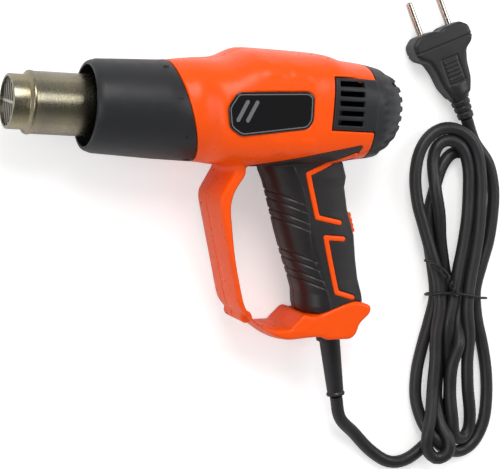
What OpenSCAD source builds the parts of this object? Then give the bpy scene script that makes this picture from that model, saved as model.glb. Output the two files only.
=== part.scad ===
// Hot-air gun with a D-shaped handle, lying on its right side, with its mains cord tied in a hank.
// The gun's own frame: X runs back along the barrel from the nozzle's mouth, Y up from the barrel's
// axis, Z to the left. lying() then rolls the gun onto its side on the table plane Z = 0.

/* [Nozzle and sleeve] */
// Outside diameter of the steel nozzle tube, which accessory nozzles push onto
nozzle_d = 34; // [31:0.5:37]
// Wall of the steel tube
nozzle_wall = 0.8; // [0.6:0.1:1.2]
// Length of the nozzle in front of the sleeve
nozzle_reach = 44; // [32:1:60]
// Length of the narrower mouth at the nozzle's front
mouth_len = 9.5; // [7:0.5:12]
// How much smaller the mouth's radius is
mouth_step = 2; // [1:0.5:2.5]
// Number of bars in the mouth's grille
grille_bars = 6; // [4:1:8]
// Outside diameter of the sleeve behind its chamfer
sleeve_front_d = 51.5; // [48:0.5:54]
// Outside diameter of the sleeve where it meets the body
sleeve_back_d = 55; // [52:0.5:58]
// Length of the sleeve along the axis
sleeve_len = 53; // [44:1:64]
// Wall of the sleeve
sleeve_wall = 2.6; // [2:0.1:3.2]
// Slant of the joint between sleeve and body
joint_slant = 18; // [10:1:22]

/* [Body] */
// Length of the body's shells along the axis, from the sleeve to the rear cap
body_len = 104; // [94:1:120]
// Height of the body's top above the axis
body_top = 36.6; // [34:0.2:42]
// Depth of the body's underside below the axis
body_bottom = 28; // [27:0.2:32]
// Width of the body
body_w = 72; // [66:1:84]
// Wall of the moulded shells
shell_wall = 2.5; // [2:0.1:3]
// Depth of the domed rear cap
cap_len = 26; // [20:1:32]
// Height of each air slot
slot_h = 2.8; // [2:0.1:3.2]
// Distance from one air slot to the next
slot_pitch = 5.3; // [4.6:0.1:6]
// Length of the air slots in the body's sides
slot_len = 15; // [10:0.5:18]

/* [Handle] */
// Height of the soft part of the handle
grip_len = 73; // [64:1:90]
// Angle by which the handle leans back
grip_rake = 19; // [14:1:24]
// Width of the handle at its waist
grip_w = 37; // [33:0.5:42]
// Thickness of the soft layer on the handle
grip_skin = 3; // [2.5:0.1:3.6]
// Width of the hand guard
guard_w = 40; // [34:1:44]
// Thickness of the hand guard's strap
guard_t = 7.6; // [7:0.2:9]
// Travel of the slide switch from off to its second heat
switch_travel = 8; // [6:0.5:9]

/* [Blower] */
// Diameter of the motor's can
motor_d = 36; // [30:1:38]
// Length of the motor's can
motor_len = 40; // [34:1:42]
// Diameter of the motor's shaft
shaft_d = 3.2; // [2.3:0.1:4]
// Diameter of the fan wheel
fan_d = 44; // [38:1:45]
// Number of blades on the fan wheel
fan_blades = 9; // [7:1:13]

/* [Cord] */
// Diameter of the mains cord
cord_d = 7.2; // [6:0.2:8]
// Length of the rubber boot where the cord leaves the handle
boot_len = 35; // [24:1:50]
// Distance between the plug's pins
pin_pitch = 19; // [19:1:19]
// Diameter of each plug pin
pin_d = 4; // [4:0.8:4.8]

/* [Hidden] */
$fn = 64;

// Clearances between pieces that are pushed or dropped together
fit_gap = 0.2;
loose_gap = 0.4;
shaft_gap = 0.05;

// Stations along the axis
x_sleeve = nozzle_reach;
x_joint = x_sleeve + sleeve_len;
x_cap = x_joint + body_len;
x_end = x_cap + cap_len;
nozzle_r = nozzle_d / 2;
sleeve_r = sleeve_back_d / 2;
half_w = body_w / 2;
slant = tan(joint_slant);

// Cross-sections of the body: [x, top, bottom, half width, power of the superellipse, slant].
// The body starts round behind the sleeve, flares to flat sides, and steps up over the blower.
body_rings = [
    [x_joint, sleeve_r, -sleeve_r, sleeve_r, 2, slant],
    [x_joint + 9, sleeve_r + 1.2, -sleeve_r, half_w - 6.5, 2.1, slant * 0.6],
    [x_joint + 14, sleeve_r + 2, -body_bottom, half_w - 1, 2.4, slant * 0.3],
    [x_joint + 21, sleeve_r + 3, -body_bottom, half_w, 2.8, 0],
    [x_joint + 33, body_top, -body_bottom, half_w, 3, 0],
    [x_joint + 45, body_top, -body_bottom + 1, half_w, 3.2, 0],
    [x_cap - 23, body_top - 0.8, -body_bottom + 4, half_w, 3.2, 0],
    [x_cap - 14, body_top - 3.6, -body_bottom + 5, half_w - 0.5, 3, 0],
    [x_cap, body_top - 4.8, -body_bottom + 7, half_w - 2, 2.8, 0]];
// Cross-sections of the domed cap, from its rim to its flat end
cap_rings = [
    [x_cap, body_top - 4.8, -body_bottom + 7, half_w - 2, 2.8, 0],
    [x_cap + cap_len * 0.3, body_top - 6, -body_bottom + 8, half_w - 4.5, 2.6, 0],
    [x_cap + cap_len * 0.5, body_top - 7.8, -body_bottom + 11.5, half_w - 8, 2.5, 0],
    [x_cap + cap_len * 0.7, body_top - 10.5, -body_bottom + 15.5, half_w - 13, 2.4, 0],
    [x_cap + cap_len * 0.85, body_top - 14, -body_bottom + 20, half_w - 19, 2.3, 0],
    [x_cap + cap_len * 0.95, body_top - 18.5, -body_bottom + 25.5, half_w - 25, 2.2, 0],
    [x_end, body_top - 23.5, -body_bottom + 31, half_w - 31, 2, 0]];
arc_steps = 18;

// Handle: its root lies under the motor, and every level leans back by the rake
grip_top = -31;
grip_root_x = x_joint + 51;
handle_base = grip_top - grip_len;
// Levels of the handle: [share of the grip's height, front offset, length front to back, half width]
grip_levels = [
    [0, 0, 49, grip_w / 2 + 1],
    [0.08, 1, 45.5, grip_w / 2 + 0.5],
    [0.26, 1, 44, grip_w / 2],
    [0.45, 1, 44.5, grip_w / 2],
    [0.63, 1.5, 41.5, grip_w / 2],
    [0.78, 2.5, 39, grip_w / 2 + 0.3],
    [0.9, 3, 38.5, grip_w / 2 + 1],
    [1, 1.5, 39, grip_w / 2 + 1.5]];
function level_y(v) = grip_top - v[0] * grip_len;
function level_x(v) = grip_root_x + v[0] * grip_len * tan(grip_rake) + v[1];

// Hand guard: a strap that leaves the body's underside, runs down in front of the fingers and back
// under them to the handle's base
guard_half = guard_w / 2;
guard_front_x = x_joint + 20.5;
base_y = handle_base - 18;
guard_outer = [[guard_front_x + 10, -body_bottom + 4], [guard_front_x, -44], [guard_front_x, -49],
    [guard_front_x + 17, handle_base - 4], [guard_front_x + 41, base_y - 1], [guard_front_x + 49, base_y - 2],
    [guard_front_x + 73, base_y + 1.5], [guard_front_x + 73, handle_base - 6]];
guard_inner = [[guard_front_x + 18, -30], [guard_front_x + guard_t + 1, -45.5],
    [guard_front_x + guard_t + 7, -79], [guard_front_x + guard_t + 15, handle_base - 2],
    [guard_front_x + guard_t + 25.5, base_y + 6], [guard_front_x + 56, base_y + 7.5],
    [guard_front_x + 62, handle_base - 2]];
// Outline of the handle's hard base, below the soft grip
base_x = level_x(grip_levels[7]);
base_len = grip_levels[7][2];
base_outline = [[base_x - 8, base_y + 6.5], [base_x - 0.5, handle_base - 3.5], [base_x + 5.5, handle_base - 5.5],
    [base_x + 22, handle_base + 2.5], [base_x + 29.5, handle_base + 4.5], [base_x + base_len, handle_base + 2.5],
    [base_x + base_len, handle_base - 2], [base_x + base_len - 6, handle_base - 8],
    [base_x + base_len - 7.5, handle_base - 14], [base_x + base_len - 10.5, base_y + 1],
    [base_x + base_len - 25, base_y], [base_x + base_len - 29, base_y + 2], [base_x - 8, base_y + 3]];

// Height of the side plates above the body, and their thickness
badge_proud = 0.1;
badge_t = 1.1;

// The roll that rests the gun on the body's side and the guard's lower corner
side_flat = 9;
tilt = atan((half_w - guard_half) / (-base_y - side_flat));
rest_h = max(concat([for (s = body_rings) for (p = ring_points(s, 0, arc_steps))
    p[2] * cos(tilt) - p[1] * sin(tilt)], [(half_w + badge_proud) * cos(tilt) + 9.5 * sin(tilt)]));
mid_x = x_end / 2;
exit_turn = 12;
boot_tip_r = 4.7;
foot_y = (base_y - boot_len * cos(exit_turn)) * cos(tilt) - boot_tip_r / 4;
mid_y = (body_top * cos(tilt) + foot_y) / 2;

// Places of the housing's screws: [x, y, outer radius of the boss, how far it reaches to each side].
// The first two stand in the body and are cut off by its wall.
screw_places = [[x_joint + 37, 29, 3.6, half_w], [x_cap - 20, 29, 3.4, half_w],
    [guard_front_x + 9.5, -37, 3.3, guard_half - 1], [guard_front_x + 24, handle_base - 7, 3.3, guard_half - 1],
    [grip_root_x + 18.5, grip_top - 5, 3.6, grip_w / 2 - grip_skin - 1],
    [base_x + 12.8, handle_base - 9, 3.6, guard_half - 1]];
screw_r = 1.5;
screw_head_r = 2.7;
screw_depth = 10;

// Barrel's inside
spigot_r = sleeve_r - sleeve_wall - fit_gap;
spigot_wall = 1.9;
seat_r = spigot_r - spigot_wall;
x_flange = x_joint + 3;
x_mount = x_joint + 8;
mica_r = nozzle_r - nozzle_wall - loose_gap;
mica_wall = 0.8;
core_r = mica_r - mica_wall - loose_gap;
core_x = nozzle_reach - 20;
core_len = x_joint - core_x - 4;
duct_r = body_bottom - shell_wall - 1.8;
x_fan = x_joint + 29;
fan_len = 12;
x_motor = x_fan + fan_len + 6;
motor_r = motor_d / 2;

// Switch on the handle's back: its frame has X out of the back, Y up along it
switch_w = 9;
switch_len = 11;
switch_y = grip_top - grip_len * 0.26;
switch_x = grip_root_x + 44.5 + grip_len * 0.26 * tan(grip_rake);
slot_zone = switch_len + switch_travel + 2;
switch_half = 8;
clamp_half = 9.6;

// Cord's way out of the base
exit_x = base_x + base_len - 16.2;
cord_r = cord_d / 2;
boot_r = 5.9;

// Cord's route on the table, before the shift to the object's middle: the lead from the boot to the
// hank, and the tail from the hank to the plug. The last number is the height of the cord's middle.
lead_points = [[205, -154.7, 15.1], [206.6, -161.6, 13.8], [209.4, -167.7, 11.3],
    [214.4, -172.2, 8.6], [220, -176.2, 6.4], [225.3, -180.8, 4.8], [230.6, -185.7, 4],
    [236.5, -189.9, 3.7], [243.1, -192.7, 3.7], [250.3, -193, 3.7], [257, -190.4, 3.7],
    [262.9, -186.2, 3.7]];
tail_points = [[284, 7, 7.5], [286, 0.7, 5.7], [289.7, -4.8, 4.4], [294.5, -9.7, 3.7],
    [298.8, -15, 3.7], [302, -21, 3.7], [303.9, -27.5, 3.7], [304.8, -34.3, 3.7]];
hank_h = 15;
hank_top = [[256, -32], [259, -12], [267, 2], [277, 3.5], [288, -1], [296, -12], [306, -30]];
hank_waist = [[303, -60], [298, -84], [298, -108]];
hank_foot = [[306, -140], [308, -160], [303, -176], [290, -192], [270, -194.5], [258, -178], [253.5, -155]];
hank_left = [[258, -128], [264, -108], [264, -84], [257, -52]];
tie_y = -96;
plug_at = [284, 7];
plug_turn = 24;
plug_len = 54.6;
plug_h = 15;
pin_len = 19;

black = "#26262a";
orange = "#f2560e";
steel = "#c9c6bd";

// Points of one superellipse ring over the left half, from its bottom to its top
function ring_points(s, inset, steps) = [for (i = [0:steps])
    let (t = -90 + 180 * i / steps, h = (s[1] - s[2]) / 2, m = (s[1] + s[2]) / 2,
        k = 2 / s[4], c = max(0, cos(t)), q = abs(sin(t)),
        y = m + sign(t) * (h - inset) * pow(q, k))
    [s[0] - s[5] * y, y, (s[3] - inset) * pow(c, k)]];

// Thin-walled half of a lofted body, closed by flat faces on the parting plane and at both ends
module half_shell(rings, wall, side) {
    n = arc_steps + 1;
    loop = 2 * n;
    last = len(rings) - 1;
    pts = [for (s = rings) each concat(ring_points(s, 0, arc_steps),
        [for (i = [0:arc_steps]) ring_points(s, wall, arc_steps)[arc_steps - i]])];
    walls = [for (r = [0:last - 1]) for (j = [0:loop - 1])
        let (a = r * loop + j, b = r * loop + (j + 1) % loop) each [[a, b, b + loop], [a, b + loop, a + loop]]];
    ends = [for (e = [0, last]) for (j = [0:n - 2])
        let (a = e * loop + j, b = a + 1, c = e * loop + loop - 2 - j, d = c + 1)
        each e == 0 ? [[a, c, b], [a, d, c]] : [[a, b, c], [a, c, d]]];
    mirror([0, 0, side < 0 ? 1 : 0]) polyhedron(pts, concat(walls, ends));
}

// Solid lofted through full superellipse rings
module loft(rings, inset) {
    n = 2 * arc_steps;
    last = len(rings) - 1;
    pts = [for (s = rings) let (h = ring_points(s, inset, arc_steps))
        each concat(h, [for (i = [1:arc_steps - 1]) let (p = h[arc_steps - i]) [p[0], p[1], -p[2]]])];
    walls = [for (r = [0:last - 1]) for (j = [0:n - 1])
        let (a = r * n + j, b = r * n + (j + 1) % n) each [[a, b, b + n], [a, b + n, a + n]]];
    front = [for (j = [1:n - 2]) [0, j + 1, j]];
    back = [for (j = [1:n - 2]) [last * n, last * n + j, last * n + j + 1]];
    polyhedron(pts, concat(walls, front, back));
}

// Rolls a piece of the gun onto its side and stands it on the table
module lying() {
    translate([-mid_x, -mid_y, rest_h]) rotate([tilt, 0, 0]) children();
}

// Puts a piece that lies on the table into the object's frame
module on_table() {
    translate([-mid_x, -mid_y, 0]) children();
}

// Turns a profile of [x, r] points about the barrel's axis
module barrel_turn(points) {
    rotate([0, 90, 0]) rotate([0, 0, 90]) rotate_extrude($fn = 96)
        polygon([for (p = points) [p[1], p[0]]]);
}

// Cylinder along the barrel's axis
module barrel_rod(x, length, radius) {
    translate([x, 0, 0]) rotate([0, 90, 0]) cylinder(h = length, r = radius);
}

// Half space on one side of the parting plane
module side_half(side) {
    translate([-50, -250, side > 0 ? 0 : -150]) cube([400, 400, 150]);
}

// Steel tube with a narrower mouth, a rolled bead behind it and a flange that the body clamps
module nozzle_tube() {
    mouth_r = nozzle_r - mouth_step;
    color(steel) lying() barrel_turn([[0, mouth_r - 2], [0, mouth_r - 0.6], [0.6, mouth_r],
        [mouth_len, mouth_r], [mouth_len + 1, nozzle_r + 0.1], [mouth_len + 3, nozzle_r + 0.1],
        [mouth_len + 4, nozzle_r], [x_sleeve - 0.5, nozzle_r], [x_sleeve - 0.5, nozzle_r - fit_gap],
        [x_flange, nozzle_r - fit_gap], [x_flange, seat_r - fit_gap],
        [x_flange + 1, seat_r - fit_gap], [x_flange + 1, nozzle_r - nozzle_wall],
        [mouth_len + 4.5, nozzle_r - nozzle_wall], [mouth_len + 1.5, mouth_r - nozzle_wall],
        [1, mouth_r - nozzle_wall], [1, mouth_r - 2]]);
}

// Bars across the mouth, held by one cross bar and a ring
module nozzle_grille() {
    ring_r = nozzle_r - mouth_step - nozzle_wall - fit_gap;
    pitch = 2 * (ring_r - 1) / (grille_bars + 1);
    color(steel) lying() {
        barrel_turn([[1.2, ring_r - 1], [1.2, ring_r], [5, ring_r], [5, ring_r - 1]]);
        intersection() {
            barrel_rod(1.2, 3, ring_r - 0.5);
            union() {
                for (i = [1:grille_bars])
                    translate([1.2, -ring_r, -ring_r + 1 + i * pitch - 0.5]) cube([3, 2 * ring_r, 1]);
                translate([1.2, -0.7, -ring_r]) cube([3, 1.4, 2 * ring_r]);
            }
        }
    }
}

// Conical plastic sleeve, cut on a slant where it meets the body
module front_sleeve() {
    front_r = sleeve_front_d / 2;
    back_in = sleeve_r - sleeve_wall;
    color(black) lying() difference() {
        barrel_turn([[x_sleeve, front_r - 3.6], [x_sleeve, front_r - 1.6], [x_sleeve + 4.5, front_r],
            [x_joint + 14, sleeve_r], [x_joint + 14, back_in], [x_joint - 22, back_in],
            [x_sleeve + 4, front_r - sleeve_wall]]);
        behind_joint(-fit_gap);
    }
}

// Everything behind the slanted joint, moved back by a gap
module behind_joint(gap) {
    translate([x_joint + gap, 0, 0]) rotate([0, 0, joint_slant]) translate([0, -80, -80]) cube([80, 160, 160]);
}

// Thin mica tube that keeps the heater off the steel
module mica_tube() {
    color("#b79a5c") lying() barrel_turn([[core_x - 4, mica_r - mica_wall], [core_x - 4, mica_r],
        [x_mount + 2, mica_r], [x_mount + 2, mica_r - mica_wall]]);
}

// Ceramic body with a cross of vanes that carries the heating coils
module heater_core() {
    color("#e8e2d4") lying() union() {
        barrel_rod(core_x - 1, core_len + 1.6, 3);
        for (a = [0:60:179])
            rotate([a, 0, 0]) translate([core_x, -core_r, -0.9]) cube([core_len, 2 * core_r, 1.8]);
        barrel_turn([[x_mount - 6, core_r - 2], [x_mount - 6, core_r], [x_mount + 1, core_r],
            [x_mount + 1, core_r - 2]]);
        for (a = [0:60:179]) rotate([a, 0, 0])
            translate([core_x + core_len - 1, -core_r + 0.5, -0.9])
            cube([x_mount - core_x - core_len - 1, 2 * core_r - 1, 1.8]);
    }
}

// Turns of resistance wire, one ring of wire after the other in each gap between the vanes
module heating_coils() {
    wire_r = 0.45;
    coil_r = 2.6;
    turns = floor((core_len - 8) / 4.2);
    color("#8a8f98") lying() for (a = [30:60:359]) rotate([a, 0, 0])
        for (i = [0:turns - 1]) translate([core_x + 5 + i * 4.2, core_r * 0.62, 0])
            rotate([0, 90, 0]) rotate_extrude($fn = 16) translate([coil_r, 0]) circle(wire_r, $fn = 8);
}

// Ring that centres the mica tube in the body's front
module heater_mount() {
    color("#d8d4cc") lying() barrel_turn([[x_mount, mica_r + fit_gap], [x_mount, seat_r - fit_gap],
        [x_mount + 2.5, seat_r - fit_gap], [x_mount + 2.5, mica_r + fit_gap]]);
}

// Cut-out that opens if the heater runs hot, held in the wiring behind the core
module thermal_fuse() {
    color("#d9d9d9") lying() translate([0, 5.7, 6.8]) {
        barrel_rod(x_mount + 2, 8, 2);
        barrel_rod(x_mount - 5, 16.5, 0.5);
    }
}

// Plastic funnel that leads the air from the fan wheel into the heater
module air_duct() {
    mouth_x = x_fan - 2;
    color("#3c3c40") lying() barrel_turn([[x_mount + 3, seat_r - 2], [x_mount + 3, seat_r - fit_gap],
        [x_mount + 5, seat_r - fit_gap], [mouth_x, duct_r], [x_fan + fan_len, duct_r],
        [x_fan + fan_len, duct_r - 1.4], [mouth_x + 1, duct_r - 1.4], [x_mount + 5, seat_r - 2]]);
}

// Fan wheel with curved blades on a disc, pressed on the motor's shaft
module fan_wheel() {
    fan_r = fan_d / 2 - 1;
    color("#55585e") lying() translate([x_fan, 0, 0]) rotate([0, 90, 0]) difference() {
        union() {
            translate([0, 0, fan_len - 3]) cylinder(h = 1.6, r = fan_r);
            cylinder(h = fan_len - 2, r = 5);
            for (i = [0:fan_blades - 1]) rotate([0, 0, i * 360 / fan_blades])
                linear_extrude(height = fan_len - 2.5) intersection() {
                    translate([fan_r * 0.5, -fan_r * 0.42]) difference() {
                        circle(fan_r * 0.62);
                        circle(fan_r * 0.62 - 1.2);
                    }
                    difference() {
                        circle(fan_r - 0.3);
                        circle(4.6);
                    }
                    translate([0, -2]) square([fan_r, fan_r + 2]);
                }
        }
        translate([0, 0, -1]) cylinder(h = fan_len + 2, r = shaft_d / 2 + shaft_gap);
    }
}

// Steel shaft through the motor and the fan wheel
module motor_shaft() {
    color(steel) lying() barrel_rod(x_fan - 1, fan_len + 9 + motor_len + 5, shaft_d / 2);
}

// Deep-drawn motor can with air holes and a front boss for its bush
module motor_can() {
    color("#9aa0a6") lying() difference() {
        union() {
            barrel_turn([[x_motor, shaft_d / 2 + 0.3], [x_motor, motor_r], [x_motor + motor_len, motor_r],
                [x_motor + motor_len, motor_r - 1.2], [x_motor + 1.4, motor_r - 1.2],
                [x_motor + 1.4, shaft_d / 2 + 0.3]]);
            barrel_turn([[x_motor - 1.4, shaft_d / 2 + shaft_gap], [x_motor - 1.4, 4.5], [x_motor + 0.5, 4.5],
                [x_motor + 0.5, shaft_d / 2 + shaft_gap]]);
        }
        for (a = [45:90:359]) rotate([a, 0, 0]) translate([x_motor - 2, motor_r * 0.6, 0])
            rotate([0, 90, 0]) cylinder(h = 5, r = 2.6);
    }
}

// Laminated armature with its windings, which turns with the shaft
module motor_armature() {
    arm_r = motor_r - 5;
    color("#a8602c") lying() difference() {
        union() {
            barrel_rod(x_motor + 9, motor_len - 22, arm_r);
            barrel_rod(x_motor + 6, motor_len - 16, arm_r - 3);
            barrel_rod(x_motor + motor_len - 11, 9, 4.2);
        }
        for (a = [0:45:359]) rotate([a, 0, 0]) translate([x_motor + 8.5, arm_r - 3, -0.8])
            cube([motor_len - 21, 4, 1.6]);
        barrel_rod(x_motor, motor_len + 4, shaft_d / 2 + shaft_gap);
    }
}

// Plastic end of the motor with its rear bush and the two brush holders
module motor_end_cap() {
    x = x_motor + motor_len;
    color("#1f2a44") lying() {
        barrel_turn([[x, shaft_d / 2 + shaft_gap], [x, motor_r - 0.1], [x + 2.5, motor_r - 0.1],
            [x + 2.5, 6], [x + 6.5, 5], [x + 6.5, shaft_d / 2 + shaft_gap]]);
        for (s = [-1, 1]) translate([x + 2.4, s * 11 - 2.5, -3]) cube([3, 5, 6]);
    }
}

// Spider that holds the can on the body's posts and lets the air pass
module motor_mount() {
    color("#4a4a50") lying() difference() {
        barrel_turn([[x_motor + 2, motor_r + fit_gap], [x_motor + 2, duct_r], [x_motor + 5, duct_r],
            [x_motor + 5, motor_r + fit_gap]]);
        for (a = [45:90:359]) rotate([a, 0, 0]) translate([x_motor, 0, 0]) intersection() {
            translate([0, motor_r + 1, -8]) cube([8, duct_r - motor_r - 2.2, 16]);
            barrel_rod(0, 8, duct_r - 1.2);
        }
    }
}

// Outline of the black plate on the body's side
module badge_outline(grow) {
    x = x_joint + 16;
    offset(delta = grow) polygon([[x, 6], [x + 5, 14.5], [x + 46, 17], [x + 49.5, 14.5], [x + 50, 1],
        [x + 47, -3.5], [x + 9, -9.5], [x + 2, -5]]);
}

// Plain black plate let into the side of the body
module badge_plate(side) {
    color("#101012") lying() mirror([0, 0, side < 0 ? 1 : 0])
        translate([0, 0, half_w + badge_proud - badge_t]) linear_extrude(height = badge_t) badge_outline(0);
}

module badge_left() { badge_plate(1); }
module badge_right() { badge_plate(-1); }

// Side outline of the handle, inset from the soft grip's surface
module handle_outline(inset) {
    polygon(concat([for (v = grip_levels) [level_x(v) + inset, level_y(v)]],
        [for (i = [7:-1:0]) let (v = grip_levels[i]) [level_x(v) + v[2] - inset, level_y(v)]]));
}

// Side outline of the hand guard's strap
module guard_outline(inset) {
    offset(delta = -inset) polygon(concat(guard_outer, [for (i = [len(guard_inner) - 1:-1:0]) guard_inner[i]]));
}

// Window in the body's sides that the rear cap's cheeks fill
module cheek_window(grow) {
    translate([x_cap - 26 - grow, -3.5 - grow, -80]) cube([80, 29 + 2 * grow, 160]);
}

// Ribs of the handle's core that show through the soft grip: two bent bars with mitred corners
module chevron_outline(grow) {
    bar = 1.4 + grow;
    for (p = [[[45, 14], [21, 1.5], [29, -22.5], [43, -25]], [[46, -34], [35, -33.5], [44, -64], [54, -66.5]]])
        translate([grip_root_x, grip_top]) polygon(concat(
            [for (i = [0:3]) p[i] + bar * mitre(p, i) + cap_end(p, i, grow)],
            [for (i = [3:-1:0]) p[i] - bar * mitre(p, i) + cap_end(p, i, grow)]));
}

// Directions along a path, the step to its edge at a corner, and how far an end stands past its point
function along(p, i) = (p[i + 1] - p[i]) / norm(p[i + 1] - p[i]);
function side_of(v) = [-v[1], v[0]];
function mitre(p, i) = let (last = len(p) - 1, a = side_of(along(p, max(i - 1, 0))),
    b = side_of(along(p, min(i, last - 1)))) (a + b) / (1 + a * b);
function cap_end(p, i, grow) = let (last = len(p) - 1)
    i == 0 ? -(1.2 + grow) * along(p, 0) : i == last ? (1.2 + grow) * along(p, last - 1) : [0, 0];

// Frame of the slide switch on the handle's back
module at_switch() {
    translate([switch_x, switch_y, 0]) rotate([0, 0, grip_rake]) children();
}

// Posts that hold the motor's mount inside one half of the body
module motor_posts() {
    for (a = [0:90:270]) rotate([a, 0, 0]) translate([x_motor + 0.5, duct_r + fit_gap, -4]) cube([6, 12, 8]);
}

// One moulded half of the casing with its spigot, guard, handle core, posts and screw bosses
module housing_half(side) {
    core_w = grip_w / 2 - grip_skin;
    cavity_w = core_w - shell_wall;
    lying() difference() {
        union() {
            half_shell(body_rings, shell_wall, side);
            intersection() {
                side_half(side);
                union() {
                    barrel_turn([[x_joint - 11, seat_r], [x_joint - 11, spigot_r], [x_joint + 9, spigot_r],
                        [x_joint + 9, sleeve_r - 1], [x_joint + 13, sleeve_r - 1], [x_joint + 13, seat_r]]);
                    intersection() {
                        union() {
                            motor_posts();
                            for (i = [0, 1]) screw_boss(screw_places[i]);
                        }
                        loft(body_rings, shell_wall / 2);
                    }
                    difference() {
                        translate([0, 0, -guard_half]) linear_extrude(height = guard_w) guard_outline(0);
                        translate([0, 0, -guard_half + shell_wall])
                            linear_extrude(height = guard_w - 2 * shell_wall) guard_outline(shell_wall);
                    }
                    handle_core(core_w, cavity_w);
                    at_switch() for (s = [-1, 1])
                        translate([-14, -switch_travel - 4, s * (switch_half + fit_gap + 2.7) - 2.7])
                            cube([7, 8, 5.4]);
                    for (s = [-1, 1]) at_exit()
                        translate([-4, 7, s * (clamp_half + fit_gap + 2) - 2]) cube([8, 7, 4]);
                    for (i = [2:5]) screw_boss(screw_places[i]);
                }
            }
        }
        screw_holes(side);
        cheek_window(fit_gap);
        translate([x_cap - fit_gap, -80, -80]) cube(160);
        at_switch() translate([-9, -slot_zone + 4, -switch_w / 2 - 1]) cube([12, slot_zone + 2, switch_w + 2]);
        mirror([0, 0, side < 0 ? 1 : 0]) translate([0, 0, half_w + badge_proud - badge_t - fit_gap])
            linear_extrude(height = 3) badge_outline(fit_gap);
        cord_way();
    }
}

// Boss for one screw, from wall to wall
module screw_boss(p) {
    translate([p[0], p[1], -p[3]]) cylinder(h = 2 * p[3], r = p[2]);
}

// Hard core of the handle with the hollow for the switch, and its base
module handle_core(core_w, cavity_w) {
    difference() {
        union() {
            translate([0, 0, -core_w]) linear_extrude(height = 2 * core_w) union() {
                handle_outline(grip_skin);
                translate([grip_root_x + 4, grip_top - 1]) square([41, 10]);
            }
            translate([0, 0, -grip_w / 2 - 0.6]) linear_extrude(height = grip_w + 1.2) chevron_outline(0);
            translate([0, 0, -guard_half]) linear_extrude(height = guard_w) polygon(base_outline);
        }
        translate([0, 0, -cavity_w]) linear_extrude(height = 2 * cavity_w) {
            handle_outline(grip_skin + shell_wall);
            translate([grip_root_x + 8, grip_top - 2]) square([33, 20]);
            translate([base_x + 8, base_y + 4]) square([base_len - 19, 22]);
        }
    }
}

// Channel through the base for the cord and its boot
module cord_way() {
    at_exit() {
        translate([0, -3, 0]) rotate([-90, 0, 0]) cylinder(h = 16, r = boot_r - 1.5 + fit_gap);
        translate([0, 3, 0]) rotate([-90, 0, 0]) cylinder(h = 2.4, r = boot_r + 0.6 + fit_gap);
    }
}

// Screw holes: a counterbored clearance hole on the right, a pilot hole on the left
module screw_holes(side) {
    for (p = screw_places) translate([p[0], p[1], 0]) {
        if (side < 0) {
            translate([0, 0, -60]) cylinder(h = 60 - screw_depth, r = screw_head_r + fit_gap);
            translate([0, 0, -screw_depth - 1]) cylinder(h = screw_depth + 2, r = screw_r + fit_gap);
        }
        if (side > 0) translate([0, 0, -1]) cylinder(h = 11.5, r = screw_r + shaft_gap);
    }
}

module housing_left() { color(orange) housing_half(1); }
module housing_right() { color(orange) housing_half(-1); }

// Pan-head screws that close the two halves
module housing_screws() {
    color("#2b2b2e") lying() for (p = screw_places) translate([p[0], p[1], 0]) difference() {
        union() {
            translate([0, 0, -screw_depth - 2]) cylinder(h = 2, r = screw_head_r);
            translate([0, 0, -screw_depth - 0.5]) cylinder(h = screw_depth + 10, r = screw_r);
        }
        translate([-2, -0.4, -screw_depth - 3]) cube([4, 0.8, 2]);
        translate([-0.4, -2, -screw_depth - 3]) cube([0.8, 4, 2]);
    }
}

// Slotted cap at the back, with two cheeks that reach forward into the body's sides
module rear_cap() {
    color(black) lying() difference() {
        union() {
            difference() {
                loft(cap_rings, 0);
                translate([-shell_wall, 0, 0]) loft(cap_rings, shell_wall);
            }
            intersection() {
                difference() {
                    loft(body_rings, 0);
                    loft(body_rings, shell_wall);
                }
                cheek_window(-fit_gap);
            }
        }
        for (i = [-2:2]) translate([0, 11.5 + i * slot_pitch - slot_h / 2, 0]) {
            translate([x_cap - 23, 0, -80]) cube([slot_len, slot_h, 160]);
            for (s = [-1, 1]) translate([x_cap + 3, 0, s * 13 - 8]) cube([60, slot_h, 16]);
        }
    }
}

// Soft layer over one half of the handle, cut round the core's ribs and the switch
module grip_half(side) {
    core_w = grip_w / 2 - grip_skin;
    color(black) lying() difference() {
        intersection() {
            side_half(side);
            union() {
                grip_loft();
                translate([0, 0, -grip_w / 2 - 0.4]) linear_extrude(height = grip_w + 0.8) polygon([
                    [grip_root_x - 9.5, grip_top + 0.5], [grip_root_x - 5, grip_top + 4.5],
                    [grip_root_x + 48, grip_top + 12], [grip_root_x + 52.5, grip_top + 6],
                    [grip_root_x + 49, grip_top], [grip_root_x, grip_top - 0.5]]);
            }
        }
        loft(body_rings, -fit_gap);
        translate([0, 0, -core_w]) linear_extrude(height = 2 * core_w) {
            handle_outline(grip_skin);
            translate([grip_root_x + 4, grip_top - 1]) square([41, 20]);
        }
        translate([0, 0, -guard_half - 1]) linear_extrude(height = guard_w + 2) {
            chevron_outline(fit_gap);
            offset(delta = fit_gap) polygon(base_outline);
            guard_outline(-fit_gap);
        }
        at_switch() translate([-6, -slot_zone - 2, -switch_w / 2 - 2]) cube([20, slot_zone + 14, switch_w + 4]);
        screw_holes(side);
    }
}

// Rounded outside of the handle, lofted through its levels
module grip_loft() {
    n = 40;
    last = len(grip_levels) - 1;
    pts = [for (v = grip_levels) for (j = [0:n - 1])
        let (t = -360 * j / n, a = v[2] / 2, k = 2 / 2.6)
        [level_x(v) + a + a * sign(cos(t)) * pow(abs(cos(t)), k), level_y(v),
            v[3] * sign(sin(t)) * pow(abs(sin(t)), k)]];
    walls = [for (r = [0:last - 1]) for (j = [0:n - 1])
        let (a = r * n + j, b = r * n + (j + 1) % n) each [[a, b, b + n], [a, b + n, a + n]]];
    top = [for (j = [1:n - 2]) [0, j + 1, j]];
    foot = [for (j = [1:n - 2]) [last * n, last * n + j, last * n + j + 1]];
    polyhedron(pts, concat(walls, top, foot));
}

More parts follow.
